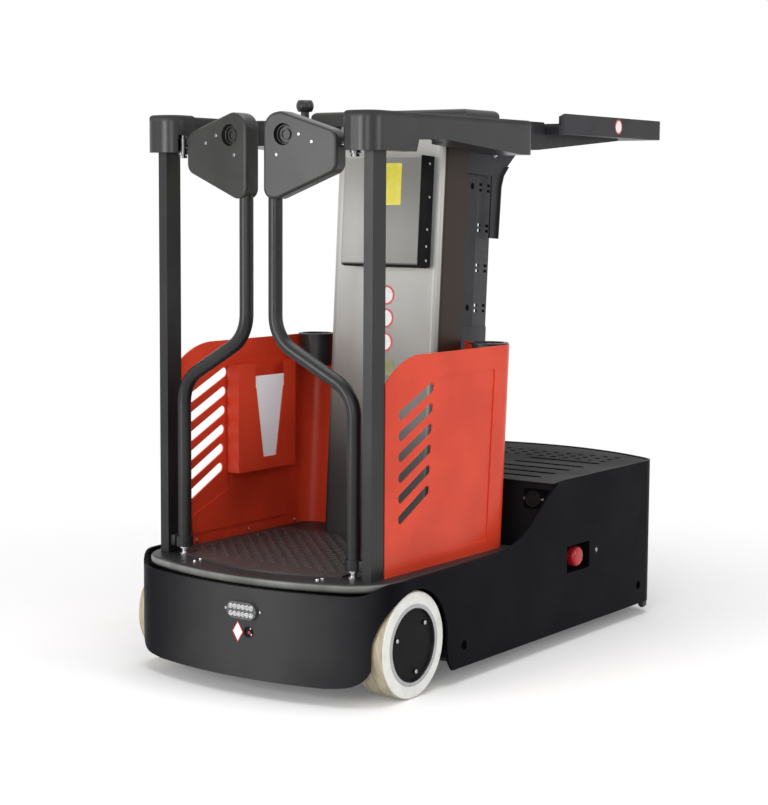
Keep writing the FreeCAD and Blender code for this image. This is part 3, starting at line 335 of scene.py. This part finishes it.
FINISH = {
    "black_paint": powder_coat("black powder coat", (0.020, 0.020, 0.022), (0.030, 0.030, 0.033), 0.40,
                               specular_ior_level=0.16),
    "mast_steel": powder_coat("mast paint", (0.022, 0.022, 0.026), (0.032, 0.032, 0.037), 0.42,
                              specular_ior_level=0.16),
    # Colours of the guard's painted reflection, lighter to the left
    "guard_steel": guard_sheet("guard sheet", (0.46, 0.455, 0.43), (0.50, 0.495, 0.47)),
    "orange_paint": powder_coat("orange powder coat", (0.60, 0.046, 0.018), (0.70, 0.060, 0.024), 0.30,
                                specular_ior_level=0.18, coat_weight=0.06, coat_roughness=0.25),
    "black_plastic": moulded_plastic("black moulding", (0.022, 0.022, 0.021), (0.031, 0.031, 0.030), 0.34,
                                     specular_ior_level=0.30),
    "mat_rubber": mat_rubber("mat rubber"),
    "cream_tyre": cream_tyre("cream polyurethane"),
    "grey_tyre": tyre_band("grey caster rubber", (0.035, 0.035, 0.037), (0.08, 0.08, 0.085), 0.5, 0.6),
    "plated_steel": rolled_steel("zinc plate", (0.40, 0.40, 0.42), (0.62, 0.62, 0.64)),
    "bare_steel": rolled_steel("machined steel", (0.22, 0.23, 0.25), (0.34, 0.35, 0.37)),
    "lamp_clear": lamp_lens("lamp lens"),
    "stop_red": signal_red("stop button red"),
    "paper_white": paper("delivery note"),
    "battery_case": powder_coat("battery case", (0.02, 0.02, 0.02), (0.035, 0.035, 0.035), 0.6),
}
CHASSIS = chassis_paint("chassis paint")
HUB = powder_coat("wheel cover paint", (0.005, 0.005, 0.006), (0.008, 0.008, 0.009), 0.40,
                  specular_ior_level=0.06)
COVER = powder_coat("cover paint", (0.080, 0.080, 0.080), (0.105, 0.105, 0.105), 0.45,
                    specular_ior_level=0.0)
# Near-black painted shade for the walls of the cover's cuts
CUT_WALL_SHADE = powder_coat("pressed edge", (0.003, 0.003, 0.003), (0.005, 0.005, 0.005), 0.6,
                      specular_ior_level=0.0)
REST = arm_rest_moulding("arm rest moulding")
TUBE = powder_coat("post paint", (0.011, 0.011, 0.012), (0.017, 0.017, 0.018), 0.32, specular_ior_level=0.28)
DARK_STEEL = rolled_steel("blackened steel", (0.10, 0.10, 0.11), (0.20, 0.20, 0.21))
# Colours of the control box's painted reflection, lighter to the left
BOX = guard_sheet("control box sheet", (0.24, 0.235, 0.22), (0.37, 0.365, 0.35))
DECK = deck_paint("deck paint")
RING = rolled_steel("wheel ring steel", (0.34, 0.35, 0.36), (0.50, 0.51, 0.52))
YELLOW = printed_sticker("yellow sticker", (0.75, 0.66, 0.07), (0.82, 0.75, 0.16))
WHITE = printed_sticker("white sticker", (0.80, 0.80, 0.79), (0.90, 0.90, 0.89))
RED_EDGE = printed_sticker("red sticker edge", (0.60, 0.05, 0.05), (0.70, 0.10, 0.10))
GREEN = printed_sticker("green sticker", (0.22, 0.23, 0.09), (0.30, 0.31, 0.14))
# Solids whose finish differs from the rest of their material slot
OWN_FINISH = {"chassis_shell": CHASSIS, "deck": DECK, "top_cover": COVER, "stop_pocket": CHASSIS,
              "control_box": BOX, "key_switch": HUB}
for pair, coat in (("hub_cover_", HUB), ("arm_rest_", REST), ("post_", TUBE), ("gate_tube_", TUBE),
                   ("pivot_head_", DARK_STEEL), ("gate_bush_", DARK_STEEL)):
    OWN_FINISH.update({pair + side: coat for side in SIDES})


def paint_solids():
    slots = {part["node"]: part["material_slot"] for part in frame["record"]["subparts"]}
    for name, node in nodes.items():
        node.data.materials.clear()
        node.data.materials.append(OWN_FINISH.get(name, FINISH[slots[name]]))


# Modelling by hand

def deselect():
    bpy.ops.object.select_all(action="DESELECT")


def select(pieces):
    """Selects these pieces alone, with the first one active."""
    deselect()
    for piece in pieces:
        piece.select_set(True)
    bpy.context.view_layer.objects.active = pieces[0]


def drum(name, radius, high, sides=20):
    """A round blank that stands on the origin and faces up."""
    deselect()
    bpy.ops.mesh.primitive_cylinder_add(vertices=sides, radius=radius, depth=high, location=(0, 0, high / 2))
    return settled(name)


def slab(name, wide, deep, high, place=(0, 0, 0)):
    """A rectangular blank that stands on place."""
    deselect()
    x, y, z = place
    bpy.ops.mesh.primitive_cube_add(size=1, location=(x, y, z + high / 2), scale=(wide, deep, high))
    return settled(name)


def settled(name):
    piece = bpy.context.active_object
    piece.name = name
    bpy.ops.object.transform_apply(location=True, rotation=True, scale=True)
    return piece


class Edit:
    """Edit mode on one piece. pick selects the faces or edges for which a test is true."""

    def __init__(self, piece, kind="FACE"):
        self.piece = piece
        self.kind = kind

    def __enter__(self):
        select([self.piece])
        bpy.ops.object.mode_set(mode="EDIT")
        bpy.ops.mesh.select_mode(type=self.kind)
        return self

    def __exit__(self, *failure):
        bpy.ops.object.mode_set(mode="OBJECT")

    def pick(self, wanted):
        bpy.ops.mesh.select_all(action="DESELECT")
        form = bmesh.from_edit_mesh(self.piece.data)
        form.normal_update()
        for part in form.faces if self.kind == "FACE" else form.edges:
            if wanted(part):
                part.select_set(True)
        bmesh.update_edit_mesh(self.piece.data)


def push(along):
    bpy.ops.mesh.extrude_region_move(TRANSFORM_OT_translate={"value": along})


def faces_up(face):
    return face.normal.z > 0.9


def faces_down(face):
    return face.normal.z < -0.9


def everything(part):
    return True


def above(level):
    return lambda edge: all(vert.co.z > level for vert in edge.verts)


def upright(edge):
    low, high = edge.verts
    return abs(low.co.x - high.co.x) + abs(low.co.y - high.co.y) < 1e-6


def stepped(piece, *steps, wanted=faces_up):
    """Insets the wanted faces and then raises or sinks them, once for each step."""
    with Edit(piece) as work:
        work.pick(wanted)
        for inset, rise in steps:
            bpy.ops.mesh.inset(thickness=inset)
            push((0, 0, rise))
    return piece


def outward(piece):
    """Turns the piece's faces outwards."""
    with Edit(piece) as work:
        work.pick(everything)
        bpy.ops.mesh.normals_make_consistent(inside=False)


def eased(piece, wanted, offset, segments=2):
    with Edit(piece, "EDGE") as work:
        work.pick(wanted)
        bpy.ops.mesh.bevel(offset=offset, segments=segments, affect="EDGES")
    return smoothed(piece)


def smoothed(piece):
    select([piece])
    bpy.ops.object.shade_smooth_by_angle(angle=math.radians(35))
    return piece


def facing(place, towards):
    """The placing that stands a blank on place with its top turned towards a direction."""
    aim = Vector(towards).to_track_quat("Z", "Y").to_matrix().to_4x4()
    return Matrix.Translation(place) @ aim


def cut_with(piece, tool, operation="DIFFERENCE"):
    cut = piece.modifiers.new("cut", "BOOLEAN")
    cut.operation = operation
    cut.object = tool
    select([piece])
    bpy.ops.object.modifier_apply(modifier="cut")
    bpy.data.objects.remove(tool)


def joined(pieces):
    select(pieces)
    if len(pieces) > 1:
        bpy.ops.object.join()
    return bpy.context.active_object


def fitted(piece, name, body, slot, placings, finish=None):
    """Copies a model to each placing, joins the copies into one piece, and hangs it on its body."""
    copies = []
    for placing in placings:
        copy = piece.copy()
        copy.data = piece.data.copy()
        copy.data.transform(placing)
        bpy.context.scene.collection.objects.link(copy)
        copies.append(copy)
    bpy.data.objects.remove(piece)
    whole = joined(copies)
    whole.name = name
    if not whole.data.materials:
        whole.data.materials.append(finish or FINISH[slot])
    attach(whole, body)
    return whole


# Small pieces. This frame's Y is the drawing's Y less DATUM.

DATUM = 0.48207
LEAN = math.radians(3.5)
DECK_TOP = 0.280
LEAN_LINE = Vector((0, 0.422 - DATUM, DECK_TOP))
LEANED = Matrix.Translation(LEAN_LINE) @ Matrix.Rotation(-LEAN, 4, "X") @ Matrix.Translation(-LEAN_LINE)
HERE = Matrix.Identity(4)
UP = (0, 0, 1)
TO_FRONT = Vector((0, -1, 0))
TO_RIGHT = Vector((1, 0, 0))
GUARD_FACE = 0.305 - DATUM
BOX_FACE = 0.253 - DATUM
STICKER = 0.0008        # thickness of a sticker
# Gates
PIVOT_X = 0.254
PIVOT_Y = -0.130
GATE_SPLAY = math.radians(5.5)
PAD_FACE = 0.0225       # from a gate housing's middle plane to the seat of its screws
# Deck and mat
PANEL_INNER = 0.314
MAT_FRONT = -0.203
MAT_RADIUS = 0.490
MAT_BACK = 0.282
STUD_PITCH = 0.018
STUD_BORDER = 0.045
# Bumper and its lamp
NOSE_FRONT = -0.262
NOSE_RADIUS = 0.950
LAMP_X = 0.035
LAMP_Z = 0.2
LAMP_PITCH = 0.012
# Drive wheels
AXLE_Y = -0.051
AXLE_Z = 0.125
SCREW_CIRCLE = 0.066
# Cover of the machine body
COVER_SHEET = 0.002
COVER_BACK_RADIUS = 0.6817
COVER_CORNER = 0.026
CUT_DEEP = 0.04
SLOT_INNER = 0.080
SLOT_OUTER = 0.282
SLOT_WIDE = 0.019
SLOT_YS = (0.642, 0.718, 0.795, 0.872, 0.955)
HOLE_RADIUS = 0.009
HOLE_PITCH = 0.0392
HOLE_YS = (1.005, 1.048, 1.091)
# Shelf under the deck
SHELF_RADIUS = 0.925
SHELF_HALF = 0.340


def on_guard(x, z, face=GUARD_FACE):
    """The placing for a sticker that lies on the leaning guard or its box."""
    return LEANED @ facing((x, face, z), TO_FRONT)


def centre(name):
    """The middle of a solid's box."""
    low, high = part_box(name)
    return [(low[axis] + high[axis]) / 2 for axis in (X, Y, Z)]


def screw(radius, high):
    """Button-head screw with a round socket."""
    head = stepped(drum("screw", radius, high, 18), (radius * 0.5, -high * 0.5))
    return eased(head, lambda edge: above(high * 0.99)(edge)
                 and all(vert.co.xy.length > radius * 0.9 for vert in edge.verts), radius * 0.22, 3)


def washer_bolt(across, high):
    """Bolt head that narrows from its washer."""
    head = stepped(drum("bolt", across * 1.35, high * 0.25, 24), (across * 0.35, high * 0.75))
    return eased(head, above(high * 0.99), high * 0.12, 2)


def red_edged(sign, blank):
    """Gives a sign a red edge, and the white finish to its top faces within blank of the middle."""
    for finish in (RED_EDGE, WHITE):
        sign.data.materials.append(finish)
    for face in sign.data.polygons:
        face.material_index = int(face.normal.z > 0.9 and face.center.xy.length < blank)
    return sign


def disc_sign(radius):
    """Round sticker with a blank middle."""
    sign = drum("sign", radius, STICKER, 40)
    with Edit(sign) as work:
        work.pick(faces_up)
        bpy.ops.mesh.inset(thickness=radius * 0.2)
    return red_edged(sign, radius * 0.3)


def flat_ring(outer, inner, thick):
    """A turned washer with broken edges, standing on the origin."""
    deselect()
    bpy.ops.mesh.primitive_circle_add(vertices=64, radius=outer, fill_type="NOTHING")
    ring = settled("ring")
    with Edit(ring, "EDGE") as work:
        work.pick(everything)
        bpy.ops.mesh.extrude_region_move()
        bpy.ops.transform.resize(value=(inner / outer, inner / outer, 1))
    outward(ring)
    wall = ring.modifiers.new("wall", "SOLIDIFY")
    wall.thickness = thick
    wall.offset = 0
    corner = ring.modifiers.new("corner", "BEVEL")
    corner.width = thick * 0.35
    corner.segments = 2
    for step in ("wall", "corner"):
        bpy.ops.object.modifier_apply(modifier=step)
    ring.data.transform(Matrix.Translation((0, 0, thick / 2)))
    return smoothed(ring)


def gate_placing(side, along, z, out):
    """A place on a gate's housing: along it from the pivot, up, and out from its middle plane."""
    hand = HAND[side]
    run = Vector((-hand * math.cos(GATE_SPLAY), -math.sin(GATE_SPLAY), 0))
    face = Vector((hand * math.sin(GATE_SPLAY), -math.cos(GATE_SPLAY), 0))
    pivot = Vector((hand * PIVOT_X, PIVOT_Y - DATUM, z))
    return facing(pivot + run * along + face * out, face)


def dress_gates():
    for side in SIDES:
        body = "gate_" + side
        screws = [gate_placing(side, along, z, PAD_FACE) for along, z in
                  ((0.101, 1.2685), (0.1355, 1.2855), (0.195, 1.240))]
        fitted(screw(0.0042, 0.0018), "gate_screws_" + side, body, "bare_steel", screws)
        grip = drum("grip", 0.0225, 0.010, 36)
        with Edit(grip) as work:
            for inset, rise in ((0.0035, -0.006), (0.006, 0.004), (0.003, -0.003)):
                work.pick(lambda face: faces_up(face) and face.calc_center_median().xy.length < 0.001)
                bpy.ops.mesh.inset(thickness=inset)
                push((0, 0, rise))
        eased(grip, above(0.0099), 0.0012)
        fitted(grip, "grip_cup_" + side, body, "black_plastic", [gate_placing(side, 0.178, 1.286, 0.0045)])


def dress_deck():
    bolts = [facing((x, y - DATUM, DECK_TOP), UP) for x, y in
             ((-0.161, -0.201), (-0.166, -0.174), (0.208, -0.206), (0.210, -0.190))]
    fitted(washer_bolt(0.0042, 0.005), "deck_bolts", "platform", "plated_steel", bolts)
    for side in SIDES:
        row = [facing((HAND[side] * PANEL_INNER, y - DATUM, 0.2895), (-HAND[side], 0, 0))
               for y in (-0.016, 0.189, 0.380)]
        fitted(screw(0.0042, 0.0022), "panel_screws_" + side, "platform", "plated_steel", row)
    studs = []
    for row in range(-6, 27):
        y = STUD_PITCH * row
        wide = 0.218 if y < -0.08 else 0.284
        for step in range(-8, 9):
            x = 2 * STUD_PITCH * step + STUD_PITCH * (row % 2)
            front = MAT_FRONT + MAT_RADIUS - math.sqrt(MAT_RADIUS ** 2 - x ** 2)
            if front + STUD_BORDER < y < MAT_BACK and abs(x) < wide:
                studs.append(facing((x, y - DATUM, 0.2849), UP))
    stud = slab("stud", 0.024, 0.013, 0.0014)
    eased(stud, upright, 0.0055, 3)
    eased(stud, above(0.0013), 0.0008, 1)
    fitted(stud, "mat_studs", "platform", "mat_rubber", studs)
    lug = slab("lug", 0.0150, 0.024, 0.026)
    eased(lug, everything, 0.0025)
    fitted(lug, "gate_lugs", "platform", "black_paint",
           [Matrix.Translation((hand * 0.2836, PIVOT_Y - DATUM, 0.298)) for hand in (1, -1)])


def dress_guard():
    for order, z in enumerate((0.8946, 0.8366, 0.7761)):
        fitted(disc_sign(0.025), f"guard_sign_{order + 1}", "platform", "paper_white", [on_guard(0.008, z)])
    label = slab("label", 0.086, 0.104, STICKER)
    eased(label, upright, 0.004, 4)
    fitted(label, "box_label", "platform", "paper_white", [on_guard(0.033, 1.170, BOX_FACE)], YELLOW)
    tag = slab("tag", 0.034, 0.040, 0.0007)
    eased(tag, upright, 0.003, 3)
    fitted(tag, "guard_tag", "platform", "paper_white", [on_guard(0.022, 0.712)], GREEN)
    # Black end plate of the control box, and a sill under the box in near-black as a painted shadow along
    # its bottom edge
    plate = slab("plate", 0.0022, 0.0545, 0.275, (0.1362, 0.27725 - DATUM, 0.9665))
    eased(plate, everything, 0.0006)
    fitted(plate, "box_end_plate", "platform", "black_paint", [LEANED], HUB)
    shadow_sill = slab("shadow_sill", 0.232, 0.050, 0.0035, (0.019, 0.278 - DATUM, 0.9662))
    stepped(shadow_sill, (0.004, -0.0015), wanted=faces_down)
    fitted(smoothed(shadow_sill), "box_shadow_sill", "platform", "black_paint", [LEANED], HUB)
    screws = [LEANED @ facing((0.1373, y - DATUM, z), TO_RIGHT) for y, z in
              ((0.284, 1.222), (0.288, 1.140), (0.284, 1.060), (0.283, 1.018), (0.284, 0.983))]
    fitted(screw(0.0035, 0.0018), "box_screws", "platform", "plated_steel", screws)


def dress_mast():
    for side in reversed(SIDES):
        plate = slab("plate", 0.003, 0.066, 0.524, (0.1515, 0.457 - DATUM, 0.300))
        with Edit(plate) as work:
            work.pick(lambda face: face.normal.y > 0.9)
            push((-0.013, 0.084, 0))
        eased(plate, above(0.823), 0.0012)
        if side == "left":
            plate.data.transform(Matrix.Diagonal((-1, 1, 1, 1)))
            outward(plate)
        fitted(plate, "mast_plate_" + side, "chassis", "mast_steel", [LEANED])
    screws = [facing((0.160, y - DATUM, z), TO_RIGHT) for y, z in
              ((0.605, 1.281), (0.633, 1.271), (0.607, 1.257))]
    fitted(washer_bolt(0.0055, 0.006), "hanger_bolts", "platform", "plated_steel", screws)


def nose(x, z, out=0.0):
    """The placing on the bumper's curved front, out from it."""
    y = NOSE_FRONT + NOSE_RADIUS - math.sqrt(NOSE_RADIUS ** 2 - x ** 2) - DATUM
    return facing((x, y - out, z), (x / NOSE_RADIUS, -1, 0))


def dress_bumper():
    diamond = drum("diamond", 0.025, 0.0009, 4)
    diamond.data.transform(Matrix.Diagonal((0.62, 1, 1, 1)))
    with Edit(diamond) as work:
        work.pick(faces_up)
        bpy.ops.mesh.inset(thickness=0.0022)
    fitted(red_edged(diamond, 0.002), "bumper_diamond", "chassis", "paper_white", [nose(0.0215, 0.149)])
    plug = stepped(drum("plug", 0.0125, 0.003, 30), (0.004, -0.0015))
    eased(plug, above(0.0029), 0.0007)
    fitted(plug, "bumper_plug", "chassis", "black_plastic", [nose(0.052, 0.151)], HUB)
    light = drum("light", 0.0042, 0.0032, 18)
    eased(light, above(0.0031), 0.0014, 3)
    fitted(light, "bumper_plug_light", "chassis", "stop_red", [nose(0.055, 0.150)])
    fitted(screw(0.0022, 0.0012), "bumper_plug_pins", "chassis", "plated_steel",
           [nose(0.0605, 0.160, 0.003), nose(0.0625, 0.146, 0.003)])
    fitted(screw(0.0030, 0.0018), "lamp_screws", "chassis", "plated_steel",
           [nose(x, LAMP_Z) for x in (-0.014, 0.084)])
    ring = stepped(drum("ring", 0.0058, 0.0012, 20), (0.0014, -0.0006))
    lens_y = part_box("headlight")[0][Y] + 0.0025
    rings = [facing((LAMP_X + LAMP_PITCH * (i - 2.5), lens_y, LAMP_Z + up), TO_FRONT)
             for i in range(6) for up in (-0.0085, 0.0085)]
    fitted(smoothed(ring), "lamp_rings", "chassis", "plated_steel", rings, WHITE)


def dress_wheels():
    for side in SIDES:
        hand = HAND[side]
        places = []
        for turn in (42, 162, 282):
            y = AXLE_Y + SCREW_CIRCLE * math.cos(math.radians(turn)) - DATUM
            z = AXLE_Z + SCREW_CIRCLE * math.sin(math.radians(turn))
            places.append(facing((hand * 0.3645, y, z), (hand, 0, 0)))
        wheel = "drive_wheel_" + side
        fitted(screw(0.0050, 0.0030), "wheel_screws_" + side, wheel, "plated_steel", places)
        fitted(flat_ring(0.0955, 0.0862, 0.0016), "wheel_ring_" + side, wheel, "bare_steel",
               [facing((hand * 0.3678, AXLE_Y - DATUM, AXLE_Z), (hand, 0, 0))], RING)


def dress_cover():
    """Sheet cover of the machine body: slots across it and three rows of holes behind them."""
    low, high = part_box("top_cover")
    cut_z = high[Z] - CUT_DEEP / 2
    cover = slab("cover", high[X] - low[X], high[Y] - low[Y], COVER_SHEET,
                 (0, (low[Y] + high[Y]) / 2, high[Z] - COVER_SHEET))
    back = drum("back", COVER_BACK_RADIUS, 0.2, 144)
    back.data.transform(Matrix.Translation((0, high[Y] - COVER_BACK_RADIUS, high[Z] - 0.1)))
    cut_with(cover, back, "INTERSECT")
    eased(cover, lambda edge: upright(edge) and abs(edge.verts[0].co.x) > high[X] - 0.001
          and edge.verts[0].co.y > 0.3, COVER_CORNER, 5)
    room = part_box("outer_mast")[1][X] + 0.008
    tools = [slab("notch", 2 * room, 0.052, CUT_DEEP, (0, low[Y], cut_z))]
    for y in SLOT_YS:
        for hand in (-1, 1):
            slot = slab("slot", SLOT_OUTER - SLOT_INNER + SLOT_WIDE, SLOT_WIDE, CUT_DEEP)
            eased(slot, upright, SLOT_WIDE * 0.499, 5)
            slot.data.transform(Matrix.Translation((hand * (SLOT_INNER + SLOT_OUTER) / 2, y - DATUM, cut_z)))
            tools.append(slot)
    for y in HOLE_YS:
        for step in range(-7, 8):
            hole = drum("hole", HOLE_RADIUS, CUT_DEEP, 18)
            hole.data.transform(Matrix.Translation((step * HOLE_PITCH, y - DATUM, cut_z)))
            tools.append(hole)
    cut_with(cover, joined(tools))
    for finish in (COVER, CUT_WALL_SHADE):
        cover.data.materials.append(finish)
    # The walls of the cuts get a near-black painted shade, darker than the sheet and its outer edge.
    for face in cover.data.polygons:
        middle = face.center
        inside = abs(middle.x) < 0.33 and low[Y] + 0.01 < middle.y < high[Y] - 0.1
        face.material_index = int(abs(face.normal.z) < 0.5 and inside)
    plate = fitted(smoothed(cover), "vented_cover", "chassis", "black_paint", [HERE])
    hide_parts("top_cover")


def dress_front():
    """Shelf under the deck that closes the gap behind the bumper's top edge."""
    shelf = drum("shelf", SHELF_RADIUS, 0.004, 160)
    shelf.data.transform(Matrix.Translation((0, 0.688 - DATUM, 0.2465)))
    keep = slab("keep", 2 * SHELF_HALF, 0.16, 0.1, (0, -0.680, 0.2))
    cut_with(shelf, keep, "INTERSECT")
    eased(shelf, lambda edge: upright(edge) and abs(edge.verts[0].co.x) > SHELF_HALF - 0.0001
          and edge.verts[0].co.y < -0.62, 0.012, 3)
    fitted(shelf, "front_shelf", "chassis", "black_paint", [HERE], CHASSIS)


def dress_socket():
    low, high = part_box("charge_socket")
    wide, thick, tall = (high[axis] - low[axis] for axis in (X, Y, Z))
    middle = centre("charge_socket")
    socket = slab("socket", wide, tall, 0.004)
    eased(socket, upright, 0.006, 3)
    fitted(socket, "socket_plate", "chassis", "black_plastic",
           [facing((middle[X], high[Y], middle[Z]), TO_FRONT)], HUB)
    cap = stepped(drum("cap", 0.0215, thick, 40), (0.0035, -0.0025), (0.004, 0.0015))
    eased(cap, above(thick - 0.0001), 0.0012)
    cap_x = low[X] + 0.030
    cover = fitted(cap, "socket_cap", "chassis", "black_plastic",
                   [facing((cap_x, high[Y], middle[Z]), TO_FRONT)])
    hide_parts("charge_socket")
    fitted(screw(0.0045, 0.0035), "socket_screws", "chassis", "plated_steel",
           [facing((cap_x + step, high[Y] - 0.004, middle[Z]), TO_FRONT) for step in (-0.0255, 0.0265)])


def dress_stop():
    """Mushroom head on its stem."""
    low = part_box("stop_button")[0]
    middle = centre("stop_button")
    face = 0.3755 - low[X]
    head = drum("head", 0.0145, face - 0.022, 40)
    with Edit(head) as work:
        work.pick(faces_up)
        push((0, 0, 0))
        bpy.ops.transform.resize(value=(1.83, 1.83, 1))
        push((0, 0, 0.016))
        push((0, 0, 0.006))
        bpy.ops.transform.resize(value=(0.74, 0.74, 1))

    def rim(edge):
        low_end, high_end = edge.verts
        return abs(low_end.co.z - high_end.co.z) < 1e-6 and all(
            vert.co.xy.length > 0.016 and vert.co.z > face - 0.007 for vert in edge.verts)

    eased(head, rim, 0.0045, 5)
    knob = fitted(head, "stop_head", "chassis", "stop_red",
                  [facing((low[X], middle[Y] + 0.006, middle[Z]), TO_RIGHT)])
    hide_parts("stop_button")


def dress_body():
    fitted(disc_sign(0.0195), "tray_sign", "platform", "paper_white",
           [facing((0.316, 0.982 - DATUM, 1.338), TO_RIGHT)])
    dress_socket()
    dress_stop()
    foot = slab("foot", 0.016, 0.022, 0.030, (0, 0, -0.030))
    stepped(foot, (0.003, -0.004), wanted=faces_down)
    eased(foot, lambda edge: not above(-0.001)(edge), 0.002)
    fitted(foot, "tail_feet", "chassis", "battery_case",
           [Matrix.Translation((hand * 0.3500, 1.113 - DATUM, 0.044)) for hand in (1, -1)])
    middle = centre("key_switch")
    key_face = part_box("key_switch")[1][X]
    fitted(screw(0.0052, 0.0016), "key_barrel", "chassis", "plated_steel",
           [facing((key_face - 0.0012, middle[Y], middle[Z]), TO_RIGHT)])


# Stage

# Where the photograph was taken from, in this frame, and where that camera looks
CAMERA_PLACE = Vector((2.7597, -4.0500, 1.1377))
CAMERA_TURN = math.radians(35.18)
CAMERA_DIP = math.radians(6.09)
CAMERA_ROLL = math.radians(0.37)
FOCAL_PIXELS = 1892.35
PICTURE_HEIGHT = 805
SENSOR = 36.0
WHITE_LIGHT = (1, 1, 1, 1)
FLOOR_LIFT = 0.10       # glow of the floor near the truck
FLOOR_FADE = (1.0, 2.2)     # distances between which the floor turns white
ROOM_STRENGTH = 0.45


def set_camera():
    lens = bpy.data.cameras.new("camera")
    lens.sensor_width = SENSOR
    lens.lens = FOCAL_PIXELS / PICTURE_HEIGHT * SENSOR
    lens.clip_start = 0.1
    lens.clip_end = 100
    camera = bpy.data.objects.new("camera", lens)
    bpy.context.scene.collection.objects.link(camera)
    turn = Matrix.Rotation(CAMERA_TURN, 4, "Z") @ Matrix.Rotation(math.pi / 2 - CAMERA_DIP, 4, "X")
    camera.matrix_world = Matrix.Translation(CAMERA_PLACE) @ turn @ Matrix.Rotation(CAMERA_ROLL, 4, "Z")
    bpy.context.scene.camera = camera


def seen_directly(tree):
    """Gives 1 for rays that end in the picture straight, by a mirror or through glass, and 0 for others."""
    path = tree.nodes.new("ShaderNodeLightPath")
    seen = path.outputs["Is Camera Ray"]
    for ray in ("Is Glossy Ray", "Is Transmission Ray"):
        either = tree.nodes.new("ShaderNodeMath")
        either.operation = "MAXIMUM"
        tree.links.new(seen, either.inputs[0])
        tree.links.new(path.outputs[ray], either.inputs[1])
        seen = either.outputs[0]
    return seen


def set_floor():
    """Pale floor that fades to white away from the truck."""
    deselect()
    bpy.ops.mesh.primitive_plane_add(size=40)
    floor = bpy.context.active_object
    floor.name = "floor"
    pale = Finish("floor", (0.85, 0.85, 0.85), 0.9)
    pale.feed("Base Color", pale.blend(pale.noise(2.0), (0.84, 0.84, 0.84), (0.86, 0.86, 0.86)))
    lit = Term(pale, pale.surface.outputs[0])
    lift, white = (
        pale.node("ShaderNodeEmission", {}, {"Color": WHITE_LIGHT, "Strength": strength}, "Emission")
        for strength in (FLOOR_LIFT, 1.0))
    near = pale.node("ShaderNodeAddShader", {}, {0: lit, 1: lift})
    away = pale.node("ShaderNodeVectorMath", {"operation": "LENGTH"}, {0: pale.place}, "Value")
    both = pale.node("ShaderNodeMixShader", {}, {"Fac": away.ramp(*FLOOR_FADE), 1: near, 2: white})
    shown = pale.node("ShaderNodeMixShader", {}, {
        "Fac": Term(pale, seen_directly(pale.tree)), 1: lit, 2: both})
    pale.join(pale.tree.nodes["Material Output"].inputs["Surface"], shown)
    floor.data.materials.append(pale.material)


def set_world():
    """Dim white room for the light's own rays, and plain white where the picture shows it."""
    world = bpy.data.worlds.new("studio")
    world.use_nodes = True
    bpy.context.scene.world = world
    tree = world.node_tree
    room = tree.nodes["Background"]
    white = tree.nodes.new("ShaderNodeBackground")
    for shade, strength in ((room, ROOM_STRENGTH), (white, 1.0)):
        shade.inputs["Color"].default_value = WHITE_LIGHT
        shade.inputs["Strength"].default_value = strength
    mix = tree.nodes.new("ShaderNodeMixShader")
    for order, source in enumerate((seen_directly(tree), room.outputs[0], white.outputs[0])):
        tree.links.new(source, mix.inputs[order])
    tree.links.new(mix.outputs[0], tree.nodes["World Output"].inputs["Surface"])


def softbox(name, place, target, size, watts):
    lamp = bpy.data.lights.new(name, "AREA")
    lamp.shape = "RECTANGLE"
    lamp.size, lamp.size_y = size
    lamp.energy = watts
    holder = bpy.data.objects.new(name, lamp)
    bpy.context.scene.collection.objects.link(holder)
    aim = Vector(target) - Vector(place)
    holder.matrix_world = Matrix.Translation(place) @ aim.to_track_quat("-Z", "Y").to_matrix().to_4x4()


def set_lights():
    middle = (0, 0, 0.6)
    softbox("overhead box", (0.3, -0.2, 4.2), middle, (3.0, 3.0), 112)
    softbox("front box", (-1.2, -4.3, 1.1), middle, (1.8, 2.0), 90)
    softbox("fill box", (2.0, -4.2, 1.5), middle, (1.2, 1.6), 32)
    softbox("side box", (4.3, 0.2, 1.9), middle, (2.0, 2.0), 46)


paint_solids()
dress_gates()
dress_deck()
dress_guard()
dress_mast()
dress_bumper()
dress_wheels()
dress_body()
dress_cover()
dress_front()
set_camera()
set_floor()
set_world()
set_lights()
scene = bpy.context.scene
scene.view_settings.view_transform = "Standard"
